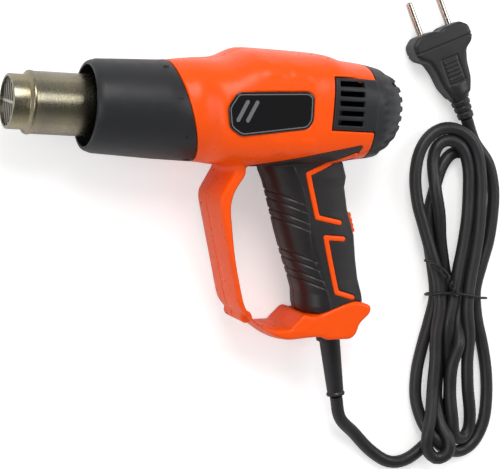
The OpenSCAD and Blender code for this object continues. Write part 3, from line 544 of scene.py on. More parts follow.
def badge_gloss(colour):
    """Glossy plate with a silver line inside its edge and two slanted bars."""
    f = Finish("badge_gloss")
    edge = f.node("ShaderNodeAttribute", {"attribute_name": "edge"}, output="Fac")
    bars = f.node("ShaderNodeAttribute", {"attribute_name": "bars"}, output="Fac")
    line = (edge > 1.1) * (edge < 1.7)
    mark = line.maths("MAXIMUM", line, bars > 0.5)
    tone = f.mix(mark, colour, (0.62, 0.62, 0.64))
    rough = f.between(f.noise(400, 4), 0.3, 0.7, 0.1, 0.17)
    return f.surface(Base_Color=tone, Roughness=rough, Coat_Weight=0.6,
                     Metallic=f.between(mark, 0, 1, 0, 0.8), Normal=f.bump(f.noise(70, 1), 0.0002, 0.3))


def grained(name, low, high, scale=120, roughness=0.5, depth=0.00005, metallic=0.0):
    """Any other plain finish: two close colours in a fine pattern."""
    f = Finish(name)
    pattern = f.noise(scale, 4)
    return f.surface(Base_Color=f.mix(pattern, low, high), Metallic=metallic,
                     Roughness=f.between(pattern, 0.3, 0.7, roughness - 0.06, roughness + 0.06),
                     Normal=f.bump(f.noise(scale * 9, 2), depth, 0.7))


# ---------------------------------------------------------------- sizes and colours

def colour_prop(label, default, about):
    return FloatVectorProperty(name=label, description=about, subtype="COLOR", size=3, min=0, max=1,
                               default=default)


def length_prop(label, default_mm, about):
    return FloatProperty(name=label, description=about, default=default_mm * MM, unit="LENGTH",
                         subtype="DISTANCE", precision=5)


class GunSizes(PropertyGroup):
    """Sizes of the visible details."""
    cell: length_prop("Casing cell", 0.8, "Size of the cells that the casing's surface is found in")
    fine_cell: length_prop("Fine cell", 0.45, "Size of the cells for the grip, the cap and the plug")
    groove: length_prop("Finger groove", 0.75, "Depth of the thin grooves in the handle's front")
    rib: length_prop("Cap rib", 0.8, "Height of the ribs round the cap's dome")
    rib_pitch: length_prop("Rib pitch", 5.3, "Distance from one air slot or rib to the next")
    slot_height: length_prop("Air slot", 2.8, "Height of each air slot")
    fillet: length_prop("Guard fillet", 6, "Fillet where the guard leaves the body")
    tie_wire: length_prop("Tie wire", 1.5, "Thickness of the wire tie round the hank")
    sleeve_marks: IntProperty(name="Sleeve marks", description="Raised marks round the sleeve",
                              default=8, min=2, max=24)


class GunColours(PropertyGroup):
    """Colours of the gun's finishes."""
    orange: colour_prop("Orange", (0.93, 0.085, 0.001), "Moulded casing")
    black: colour_prop("Black", (0.02, 0.021, 0.024), "Rear cap and front sleeve")
    rubber: colour_prop("Rubber", (0.019, 0.017, 0.018), "Soft grip")
    cord: colour_prop("Cord", (0.016, 0.016, 0.018), "Mains cord and plug")
    steel: colour_prop("Steel", (0.27, 0.25, 0.19), "Nozzle tube")
    plate: colour_prop("Plate", (0.008, 0.008, 0.009), "Side plates")


finishes_made = {}


def made(kind):
    """The finish of that name, made when it is first asked for."""
    if kind in finishes_made:
        return finishes_made[kind]
    c = bpy.context.scene.gun_colours
    makers = {
        "housing_orange": lambda: moulded(kind, tuple(c.orange), 0.3, 0.00002, specular=0.28),
        "cap_black": lambda: moulded(kind, tuple(c.black), 0.42, 0.00005, 2200, specular=0.35),
        "sleeve_black": lambda: moulded(kind, tuple(c.black), 0.4, 0.00004, 2200, specular=0.35),
        "grip_rubber": lambda: grip_rubber(tuple(c.rubber)),
        "cord_black": lambda: cord_skin(kind, tuple(c.cord)),
        "plug_black": lambda: moulded(kind, tuple(c.cord), 0.36, 0.00004, 1800),
        "nozzle_steel": lambda: nozzle_steel(tuple(c.steel)),
        "badge_gloss": lambda: badge_gloss(tuple(c.plate)),
        "tie_black": lambda: cord_skin(kind, (0.012, 0.012, 0.013)),
        "pin_nickel": lambda: metal(kind, (0.66, 0.62, 0.56), 0.2, (300, 900, 900)),
        "grille_steel": lambda: metal(kind, (0.5, 0.48, 0.42), 0.34, (200, 700, 700)),
        "mica": lambda: grained(kind, (0.42, 0.3, 0.15), (0.55, 0.44, 0.27), 300, 0.4),
        "ceramic": lambda: grained(kind, (0.7, 0.67, 0.6), (0.8, 0.78, 0.72), 200, 0.8),
        "coil_wire": lambda: metal(kind, (0.3, 0.28, 0.27), 0.4),
        "zinc_steel": lambda: metal(kind, (0.55, 0.56, 0.58), 0.35),
        "fan_plastic": lambda: moulded(kind, (0.07, 0.075, 0.085), 0.5),
        "copper_winding": lambda: metal(kind, (0.62, 0.24, 0.1), 0.35, (900, 200, 900)),
        "motor_plastic": lambda: moulded(kind, (0.06, 0.06, 0.065), 0.55),
        "switch_black": lambda: moulded(kind, (0.03, 0.03, 0.033), 0.5),
        "board_green": lambda: grained(kind, (0.02, 0.13, 0.04), (0.03, 0.17, 0.06), 500, 0.35),
        "wire_red": lambda: moulded(kind, (0.42, 0.025, 0.018), 0.4),
        "block_white": lambda: moulded(kind, (0.75, 0.73, 0.67), 0.45),
        "screw_dark": lambda: metal(kind, (0.1, 0.1, 0.11), 0.4),
    }
    finishes_made[kind] = makers[kind]()
    finishes_made[kind].name = f"{kind}_finish"
    return finishes_made[kind]


# ---------------------------------------------------------------- pieces

def mirrored_z(matrix, side):
    """A gun-frame matrix for the left half, or for the right half, which is its mirror image."""
    return matrix if side > 0 else matrix @ Matrix.Scale(-1, 4, (0, 0, 1))


def turned_out(obj, side):
    """Turns a mirrored piece's faces outwards again."""
    if side < 0:
        obj.data.flip_normals()
    return obj


def guard_outline():
    """The guard strap's side outline, with a wider curve inside than outside."""
    return rounded(GUARD_OUTER + GUARD_INNER, [7] * len(GUARD_OUTER) + [11] * len(GUARD_INNER))


def cap_split(x, y):
    """Field of the window in the body's side that the cap's cheek fills."""
    return slab((x, X_CAP - 26, X_CAP + 60), (y, -3.5, 25.5))


def strip_field(x, y, z):
    """The casing's strip that shows down the handle's back, round the slider."""
    out, along = slider_frame(x, y)
    return slab((out, -6, 20), (along, -23, 12), (z, -6.4, 6.4))


def chevron_field(x, y):
    return np.minimum(path_distance(CHEVRONS[0], x, y), path_distance(CHEVRONS[1], x, y))


def casing_field(side, fillet):
    """Field of one half of the orange casing: body, guard, handle core and base."""
    guard = guard_outline()
    base = rounded(BASE_OUTLINE, 2.5)
    badge = rounded(BADGE_OUTLINE, 2.5)
    saddle = rounded(SADDLE_OUTLINE, 2)

    def field(x, y, z):
        body = BODY(x, y, z)
        for px, py, pr in ((140, 27.5, 6), (155, 27.5, 6), (146, -14, 5), (162, -13.5, 5)):
            body = body - 0.7 * np.exp(-(((x - px) / pr) ** 4 + ((y - py) / 4.5) ** 4))
        strap = outline_distance(guard, x, y)
        strap = strap + 1.6 * (z / GUARD_HALF) ** 2 * np.clip(strap + 3, 0, 1)
        strap = cut(strap, z - GUARD_HALF, 2.6)
        boss = np.sqrt((x - SCREW_PLACES[3][0]) ** 2 + (y - SCREW_PLACES[3][1]) ** 2) - 3.4
        strap = joined(strap, cut(boss, z - 15, 1.5), 1.2)
        foot = cut(outline_distance(base, x, y), z - GUARD_HALF, 2.2)
        strap = joined(strap, foot, 1.5)
        body = np.maximum(body, x - (X_CAP - 0.2))
        front = (x - X_JOINT) * cos(radians(18)) + y * sin(radians(18))
        outer = cut(joined(body, strap, fillet), 0.15 - front, 0.8)
        inside = np.maximum(BODY(x, y, z, WALL), -60 - y)
        outer = np.maximum(outer, -inside)
        spigot = np.maximum(np.abs(np.sqrt(y * y + z * z) - 23.75) - 0.95, np.abs(x - 95) - 8)
        outer = np.minimum(outer, spigot)
        patch = np.maximum(outline_distance(saddle, x, y) - 0.15, -body - 1.6)
        outer = np.maximum(outer, -np.maximum(patch, 12 - z))
        core = np.maximum(grip_field(x, y, z, 3.1), slab((y, GRIP_TOP - GRIP_LEN - 2, -12)))
        core = np.minimum(core, np.maximum(grip_field(x, y, z, 0.15), strip_field(x, y, z)))
        shown = np.minimum(grip_field(x, y, z), body - 0.45)
        rib = cut(chevron_field(x, y) - 1.45, shown - 0.6, 0.9)
        core = np.minimum(core, np.maximum(rib, 12 - z))
        hollow = np.maximum(grip_field(x, y, z, 5.6), slab((y, GRIP_TOP - GRIP_LEN - 8, -27)))
        core = np.maximum(core, -hollow)
        core = np.maximum(core, -BODY(x, y, z, WALL))
        outer = np.minimum(outer, core)
        out, along = slider_frame(x, y)
        outer = np.maximum(outer, -slab((out, -9, 12), (along, -14.2, 6.2), (z, -5, 5)))
        outer = np.maximum(outer, -np.maximum(cap_split(x, y) - 0.2, 28 - z))
        recess = np.maximum(outline_distance(badge, x, y) - 0.25, HALF_W - 1.2 - z)
        outer = np.maximum(outer, -recess)
        if side < 0:
            for sx, sy in SCREW_PLACES:
                hole = np.sqrt((x - sx) ** 2 + (y - sy) ** 2)
                outer = np.maximum(outer, -np.maximum(hole - 2.9, 10 - z))
        return np.maximum(outer, 0.08 - z)
    return field


def grip_skin_field(side, groove):
    """Field of one half of the soft grip, with the saddle that it spreads on the body's side."""
    base = rounded(BASE_OUTLINE, 2.5)
    guard = guard_outline()
    saddle = rounded(SADDLE_OUTLINE, 2)

    def field(x, y, z):
        skin = grip_field(x, y, z)
        front = x - (GRIP_ROOT_X + (GRIP_TOP - y) * RAKE)
        for at in (-41, -45.4, -51.4, -55.8, -73.2, -77.6, -83.2, -87.6):
            line = (y - at + 0.35 * front) / 0.55
            skin = skin + groove * np.exp(-line ** 2) * np.clip((17 - front) / 3, 0, 1)
        skin = skin + 0.5 * np.exp(-((front - 15.5 - 2 * np.sin(y / 9)) / 0.7) ** 2) * np.clip(z / 3, 0, 1)
        skin = np.maximum(skin, -grip_field(x, y, z, 3))
        skin = np.maximum(skin, slab((y, GRIP_TOP - GRIP_LEN - 7, -12)))
        skin = np.maximum(skin, np.minimum(x - 203, GRIP_TOP - GRIP_LEN - y))
        skin = np.maximum(skin, 0.2 - BODY(x, y, z))
        body = BODY(x, y, z)
        patch = cut(cut(body - 0.5, outline_distance(saddle, x, y), 0.8), -body - 1.5, 0.3)
        skin = joined(skin, np.maximum(patch, 13 - z), 1.2)
        skin = np.maximum(skin, 0.25 - outline_distance(base, x, y))
        skin = np.maximum(skin, 0.25 - outline_distance(guard, x, y))
        skin = np.maximum(skin, -(strip_field(x, y, z) - 0.2))
        skin = np.maximum(skin, -np.maximum(chevron_field(x, y) - 1.6, 12 - z))
        if side < 0:
            for sx, sy in SCREW_PLACES[4:]:
                skin = np.maximum(skin, 2.9 - np.sqrt((x - sx) ** 2 + (y - sy) ** 2 + 0 * z))
        return np.maximum(skin, 0.08 - z)
    return field


def cap_field(rib, pitch, slot_height):
    """Field of the black rear cap with its cheeks, its slots and the ribs round its dome."""
    def field(x, y, z):
        wave = 0.5 - 0.5 * np.cos(2 * pi * (y - 11.5) / pitch)
        fade = np.clip((x - 205) / 5, 0, 1)
        side = np.abs(z)
        dome = DOME(np.maximum(x, X_CAP), y, z)
        dome = dome + rib * (1 - wave ** 0.6) * fade
        dome = np.maximum(dome, -DOME(np.clip(x + WALL, X_CAP, X_END), y, z, WALL))
        dome = np.maximum(dome, np.maximum(X_CAP - x, x - X_END))
        cheek = np.maximum(BODY(np.minimum(x, X_CAP), y, z) - 0.25, -BODY(x, y, z, WALL))
        cheek = np.maximum(cheek, x - X_CAP - 0.2)
        cheek = cut(cheek, np.maximum(cap_split(x, y) + 0.3, 22 - side), 1.0)
        shell = np.minimum(dome, cheek)
        for i in range(-2, 3):
            level = np.abs(y - 11.5 - i * pitch) - slot_height / 2
            shell = cut(shell, -np.maximum(np.maximum(level, np.abs(x - 185.5) - 7.5), 20 - side), 0.5)
            shell = cut(shell, -np.maximum(np.maximum(level, 204 - x), np.abs(side - 13) - 8), 0.5)
        return shell
    return field


def plug_field():
    """Field of the moulded plug: ribbed tail, waist with a pad, shoulders and flange."""
    outline = rounded([(-6.5, 14), (6.5, 14), (9.5, 22), (10.5, 31), (12.5, 38), (17.5, 41.5), (19, 45),
                       (18.6, 51), (14, PLUG_LEN), (3, PLUG_LEN), (0, PLUG_LEN - 1.6), (-3, PLUG_LEN),
                       (-14, PLUG_LEN), (-18.6, 51), (-19, 45), (-17.5, 41.5), (-12.5, 38),
                       (-10.5, 31), (-9.5, 22)], 1.6)

    def field(x, y, z):
        thick = np.interp(y, (12, 20, 34, 40, 44, PLUG_LEN), (5.6, 6.3, 6.8, 7.2, 7.4, 7.4))
        head = cut(outline_distance(outline, x, y), np.abs(z) - thick, 2.4)
        tail = np.sqrt(x * x + z * z) - np.interp(y, (0, 3, 16, 22), (4.7, 4.9, 6.3, 6.5))
        for i in range(3):
            tail = tail + 0.9 * np.clip(1 - np.abs(y - 4 - 3.6 * i) / 0.8, 0, 1)
        tail = cut(tail, np.maximum(-y, y - 20), 0.8)
        whole = joined(head, tail, 2)
        pad = slab((x, -5.2, 5.2), (y, 22, 37))
        whole = whole + 0.5 * np.clip(1 - np.abs(pad) / 0.6, 0, 1)
        for i in range(5):
            whole = whole - 0.45 * np.clip(1 - np.abs(y - 24.5 - 2.5 * i) / 0.7, 0, 1) * (np.abs(x) < 4)
        line = np.abs(y - 45.5)
        return whole + 0.5 * np.clip(1 - line / 0.6, 0, 1)
    return field


class HOTAIRGUN_OT_stage(Operator):
    """Adds the camera, the pale floor, the world and the soft studio lights"""
    bl_idname = "hot_air_gun.stage"
    bl_label = "Stage and light"

    def execute(self, context):
        scene = context.scene
        target = Vector((27.3, -6.436, 39)) * MM
        toward = Vector((-tan(radians(20.3)), -tan(radians(1)), 1)).normalized()
        right = (-toward).cross(Vector((0, 1, 0))).normalized()
        up = right.cross(-toward)
        roll = radians(1.96)
        side = cos(roll) * right + sin(roll) * up
        top = -sin(roll) * right + cos(roll) * up
        data = bpy.data.cameras.new("camera")
        data.lens, data.sensor_width = 195.77, 36
        data.clip_end = 20
        camera = bpy.data.objects.new("camera", data)
        camera.matrix_world = Matrix.Translation(target + 1.5 * toward) @ Matrix(
            (side, top, toward)).transposed().to_4x4()
        scene.collection.objects.link(camera)
        scene.camera = camera
        scene.view_settings.view_transform = "Standard"
        self.world(scene)
        self.floor(scene)
        for name, at, size, power, tint in (
                ("key", (-0.15, 0.75, 1.05), 0.7, 7.6, (1, 0.985, 0.96)),
                ("front", (-0.9, -0.1, 0.9), 0.7, 3.2, (0.97, 0.985, 1)),
                ("rim", (0.8, 0.35, 0.75), 0.5, 2.6, (1, 1, 1))):
            lamp = bpy.data.lights.new(name, "AREA")
            lamp.shape, lamp.size = "DISK", size
            lamp.energy, lamp.color = power, tint
            light = bpy.data.objects.new(name, lamp)
            light.matrix_world = Matrix.Translation(Vector(at)) @ (
                Vector(at) - Vector((0, 0, 0.03))).to_track_quat("Z", "Y").to_matrix().to_4x4()
            scene.collection.objects.link(light)
        return {"FINISHED"}

    def world(self, scene):
        """White to the eye, pale grey as light, and darker overhead in reflections."""
        world = bpy.data.worlds.new("studio")
        world.use_nodes = True
        scene.world = world
        tree = world.node_tree
        tree.nodes.clear()
        place = tree.nodes.new("ShaderNodeTexCoord")
        ramp = tree.nodes.new("ShaderNodeValToRGB")
        split = tree.nodes.new("ShaderNodeSeparateXYZ")
        path = tree.nodes.new("ShaderNodeLightPath")
        tree.links.new(place.outputs["Generated"], split.inputs[0])
        tree.links.new(split.outputs["Z"], ramp.inputs[0])
        stops = ((0.0, 0.6), (0.3, 0.5), (0.55, 0.2), (0.85, 0.06), (1.0, 0.06))
        while len(ramp.color_ramp.elements) < len(stops):
            ramp.color_ramp.elements.new(0.5)
        for element, (at, grey) in zip(ramp.color_ramp.elements, stops):
            element.position, element.color = at, (grey, grey, grey, 1)
        plain = tree.nodes.new("ShaderNodeBackground")
        plain.inputs["Color"].default_value = (0.56, 0.56, 0.56, 1)
        shiny = tree.nodes.new("ShaderNodeBackground")
        tree.links.new(ramp.outputs["Color"], shiny.inputs["Color"])
        white = tree.nodes.new("ShaderNodeBackground")
        white.inputs["Color"].default_value = (1, 1, 1, 1)
        out = tree.nodes.new("ShaderNodeOutputWorld")
        first = tree.nodes.new("ShaderNodeMixShader")
        second = tree.nodes.new("ShaderNodeMixShader")
        tree.links.new(path.outputs["Is Glossy Ray"], first.inputs[0])
        tree.links.new(plain.outputs[0], first.inputs[1])
        tree.links.new(shiny.outputs[0], first.inputs[2])
        tree.links.new(path.outputs["Is Camera Ray"], second.inputs[0])
        tree.links.new(first.outputs[0], second.inputs[1])
        tree.links.new(white.outputs[0], second.inputs[2])
        tree.links.new(second.outputs[0], out.inputs[0])

    def floor(self, scene):
        """A wide pale floor that looks white and still keeps the gun's soft shadow."""
        size = 3.0
        floor = mesh_object("floor", [(-size, -size, 0), (size, -size, 0), (size, size, 0), (-size, size, 0)],
                            [(0, 1, 2, 3)])
        f = Finish("floor_white")
        diffuse = f.node("ShaderNodeBsdfDiffuse", None, {"Color": (0.8, 0.8, 0.8)})
        glow = f.node("ShaderNodeEmission", None, {"Color": (1, 1, 1), "Strength": 0.42})
        seen = f.node("ShaderNodeLightPath", output="Is Camera Ray")
        lifted = f.node("ShaderNodeAddShader", None, {0: diffuse, 1: glow})
        f.node_output(f.node("ShaderNodeMixShader", None, {0: seen, 1: diffuse, 2: lifted}))
        floor.data.materials.append(f.material)


class HOTAIRGUN_OT_cord(Operator):
    """Lays the mains cord from the boot through its tied hank to the plug"""
    bl_idname = "hot_air_gun.cord"
    bl_label = "Mains cord"

    def execute(self, context):
        sizes = context.scene.gun_sizes
        curve = bpy.data.curves.new("mains_cord", "CURVE")
        curve.dimensions = "3D"
        curve.bevel_depth = CORD_D / 2 * MM
        curve.bevel_resolution = 5
        curve.use_fill_caps = True
        route = [table_matrix() @ Vector(p) for p in CORD_ROUTE]
        points = self.smooth(route)
        spline = curve.splines.new("POLY")
        spline.points.add(len(points) - 1)
        for point, at in zip(spline.points, points):
            point.co = (*at, 1)
        cord = bpy.data.objects.new("mains_cord", curve)
        context.scene.collection.objects.link(cord)
        placed(cord, "gun", made("cord_black"), "cord_black", "cord_lead", "cord_hank", "cord_tail")
        plug = carve("plug_shell", plug_field(), (-20, -1, -9), (20, 56, 9), sizes.fine_cell / MM * 0.9,
                     table_matrix(PLUG_AT, PLUG_TURN))
        placed(plug, "gun", made("plug_black"), "plug_black", "plug_body")
        tie = twisted_tie(sizes.tie_wire / MM)
        placed(tie, "gun", made("tie_black"), "tie_black", "cord_tie")
        return {"FINISHED"}

    def smooth(self, route, step=2.5 * MM):
        """A smooth line through the route's points, in even steps."""
        p = np.array([tuple(v) for v in route])
        p = np.concatenate([[2 * p[0] - p[1]], p, [2 * p[-1] - p[-2]]])
        out = []
        for a, b, c, d in zip(p, p[1:], p[2:], p[3:]):
            for t in np.arange(0, 1, 0.125):
                out.append(0.5 * (2 * b + (c - a) * t + (2 * a - 5 * b + 4 * c - d) * t * t
                                  + (3 * b - a - 3 * c + d) * t ** 3))
        out = np.array(out + [p[-2]])
        run = np.concatenate([[0], np.cumsum(np.linalg.norm(np.diff(out, axis=0), axis=1))])
        even = np.linspace(0, run[-1], int(run[-1] / step) + 1)
        return [Vector(v) for v in np.stack([np.interp(even, run, out[:, k]) for k in range(3)], 1)]


def path_curve(name, points):
    """A curve object through points, for a node tree to follow."""
    curve = bpy.data.curves.new(name, "CURVE")
    curve.dimensions = "3D"
    spline = curve.splines.new("POLY")
    spline.points.add(len(points) - 1)
    for point, at in zip(spline.points, points):
        point.co = (*at, 1)
    obj = bpy.data.objects.new(name, curve)
    bpy.context.scene.collection.objects.link(obj)
    return obj


def node_group(name, *inputs):
    """An empty geometry tree with a geometry input and named size inputs."""
    group = bpy.data.node_groups.new(name, "GeometryNodeTree")
    group.interface.new_socket("Geometry", in_out="INPUT", socket_type="NodeSocketGeometry")
    for label, kind, default in inputs:
        socket = group.interface.new_socket(label, in_out="INPUT", socket_type=kind)
        socket.default_value = default
    group.interface.new_socket("Geometry", in_out="OUTPUT", socket_type="NodeSocketGeometry")
    return group


def grown(obj, group, material, **values):
    """Runs a geometry tree on an object, with its inputs set by identifier, and keeps the result."""
    modifier = obj.modifiers.new("nodes", "NODES")
    modifier.node_group = group
    for item in group.interface.items_tree:
        if item.in_out == "INPUT" and item.name in values:
            modifier[item.identifier] = values[item.name]
    return settled(obj)


def wire_tree(material):
    """Sweeps a round wire along a curve."""
    group = node_group("wire_along_curve", ("Radius", "NodeSocketFloat", 0.001),
                       ("Sides", "NodeSocketInt", 10))
    new, link = group.nodes.new, group.links.new
    start, end = new("NodeGroupInput"), new("NodeGroupOutput")
    circle = new("GeometryNodeCurvePrimitiveCircle")
    sweep = new("GeometryNodeCurveToMesh")
    sweep.inputs["Fill Caps"].default_value = True
    real, paint = new("GeometryNodeRealizeInstances"), new("GeometryNodeSetMaterial")
    smooth = new("GeometryNodeSetShadeSmooth")
    paint.inputs["Material"].default_value = material
    link(start.outputs["Radius"], circle.inputs["Radius"])
    link(start.outputs["Sides"], circle.inputs["Resolution"])
    link(start.outputs["Geometry"], sweep.inputs["Curve"])
    link(circle.outputs["Curve"], sweep.inputs["Profile Curve"])
    link(sweep.outputs["Mesh"], smooth.inputs["Geometry"])
    link(smooth.outputs["Geometry"], real.inputs["Geometry"])
    link(real.outputs["Geometry"], paint.inputs["Geometry"])
    link(paint.outputs["Geometry"], end.inputs["Geometry"])
    return group


def twisted_tie(wire):
    """The wire round the hank's waist, twisted on top, with two tails."""
    loop = [(x, -96 + 1.2 * sin(x / 7), z) for x, z in (
        (277, 16.0), (268, 15.2), (263.5, 12.6), (262.6, 8), (263.6, 3), (268, 0.95), (280, 0.9),
        (292, 0.9), (298.6, 2.2), (300.2, 6), (299, 10.5), (293, 14.6), (285, 15.8), (277.5, 16.4))]
    twist = [(277 - 5.5 * t + 1.1 * sin(10 * t), -95.5 + 9.5 * t + 0.5 * cos(10 * t),
              16.4 + 1.1 * cos(10 * t) * (t < 1)) for t in np.linspace(0.05, 1, 18)]
    first = loop + [tuple(p) for p in twist] + [(267, -83, 16), (262, -77.5, 15.2), (257.5, -76.6, 13.4)]
    second = [(278.5, -96.5, 16.9)] + [
        (277 - 5.5 * t - 1.1 * sin(10 * t), -95.5 + 9.5 * t - 0.5 * cos(10 * t), 16.6 - 1.1 * cos(10 * t))
        for t in np.linspace(0.05, 1, 18)] + [(269.5, -82.5, 17), (264.5, -79.2, 16.6), (260.3, -78.2, 15.6)]
    parts = []
    group = wire_tree(made("tie_black"))
    for name, points in (("wire_tie", first), ("wire_tie_end", second)):
        path = path_curve(name, HOTAIRGUN_OT_cord.smooth(None, [table_matrix() @ Vector(p) for p in points],
                                                         1.0 * MM))
        parts.append(grown(path, group, None, Radius=wire / 2 * MM, Sides=8))
    with bpy.context.temp_override(active_object=parts[0], selected_editable_objects=parts):
        bpy.ops.object.join()
    return parts[0]


class HOTAIRGUN_OT_casing(Operator):
    """Moulds the two halves of the orange casing with their guard, ribs and base"""
    bl_idname = "hot_air_gun.casing"
    bl_label = "Casing"

    def execute(self, context):
        sizes = context.scene.gun_sizes
        for side, name in ((1, "left"), (-1, "right")):
            obj = carve(f"casing_{name}", casing_field(side, sizes.fillet / MM), (84, -125, 0),
                        (215, 39, 38), sizes.cell / MM, mirrored_z(gun_matrix(), side))
            placed(turned_out(obj, side), "gun", made("housing_orange"), "housing_orange",
                   f"housing_{name}")
        return {"FINISHED"}


class HOTAIRGUN_OT_cap(Operator):
    """Moulds the slotted and ribbed rear cap"""
    bl_idname = "hot_air_gun.cap"
    bl_label = "Rear cap"

    def execute(self, context):
        sizes = context.scene.gun_sizes
        field = cap_field(sizes.rib / MM, sizes.rib_pitch / MM, sizes.slot_height / MM)
        obj = carve("cap_shell", field, (174, -22, -36), (228, 33, 36), sizes.fine_cell / MM, gun_matrix())
        placed(obj, "gun", made("cap_black"), "cap_black", "rear_cap")
        return {"FINISHED"}


class HOTAIRGUN_OT_grip(Operator):
    """Moulds the soft grip's two halves with their finger grooves and saddles"""
    bl_idname = "hot_air_gun.grip"
    bl_label = "Soft grip"

    def execute(self, context):
        sizes = context.scene.gun_sizes
        for side, name in ((1, "left"), (-1, "right")):
            obj = carve(f"grip_skin_{name}", grip_skin_field(side, sizes.groove / MM), (130, -107, 0),
                        (220, -9, 36), sizes.fine_cell / MM, mirrored_z(gun_matrix(), side))
            turned_out(obj, side)
            self.gloss(obj)
            placed(obj, "gun", made("grip_rubber"), "grip_rubber", f"grip_{name}")
        return {"FINISHED"}

    def gloss(self, obj):
        """Marks how glossy each point is: the finger side is smoother than the palm side."""
        back = gun_matrix().inverted()
        marks = obj.data.attributes.new("gloss", "FLOAT", "POINT")
        values = []
        for vertex in obj.data.vertices:
            at = back @ vertex.co
            front = at.x - (GRIP_ROOT_X + (GRIP_TOP - at.y) * RAKE)
            values.append(min(1, max(0, (17.5 - front) / 2)))
        marks.data.foreach_set("value", values)


class HOTAIRGUN_OT_plates(Operator):
    """Adds the glossy side plates with their plain silver line"""
    bl_idname = "hot_air_gun.plates"
    bl_label = "Side plates"

    def execute(self, context):
        outline = rounded(BADGE_OUTLINE, 2.5)
        badge = [Vector(p) for p in BADGE_OUTLINE]

        def field(x, y, z):
            plate = outline_distance(outline, x, y)
            return cut(plate + 0.05, np.abs(z - HALF_W + 0.35) - 0.75 + 0.0 * x, 0.7)
        for side, name in ((1, "left"), (-1, "right")):
            obj = carve(f"plate_{name}", field, (112, -11, 34), (165, 18.5, 37.5), 0.35,
                        mirrored_z(gun_matrix(), side))
            turned_out(obj, side)
            self.marks(obj, outline)
            placed(obj, "gun", made("badge_gloss"), "plate_black", f"badge_{name}")
        return {"FINISHED"}

    def marks(self, obj, outline):
        """Keeps each point's distance from the edge, and where the two slanted bars are."""
        back = np.array(gun_matrix().inverted())
        points = np.empty(len(obj.data.vertices) * 3, np.float32)
        obj.data.vertices.foreach_get("co", points)
        points = points.reshape(-1, 3) @ back[:3, :3].T + back[:3, 3]
        x, y = points[:, 0], points[:, 1]
        edge = obj.data.attributes.new("edge", "FLOAT", "POINT")
        edge.data.foreach_set("value", -outline_distance(outline, x, y))
        bars = obj.data.attributes.new("bars", "FLOAT", "POINT")
        ways = np.stack([path_distance([(at - 3.2, -0.5), (at + 1.4, 9.5)], x, y) for at in (122.5, 128)])
        bars.data.foreach_set("value", np.clip(1.6 - ways.min(0), 0, 1))


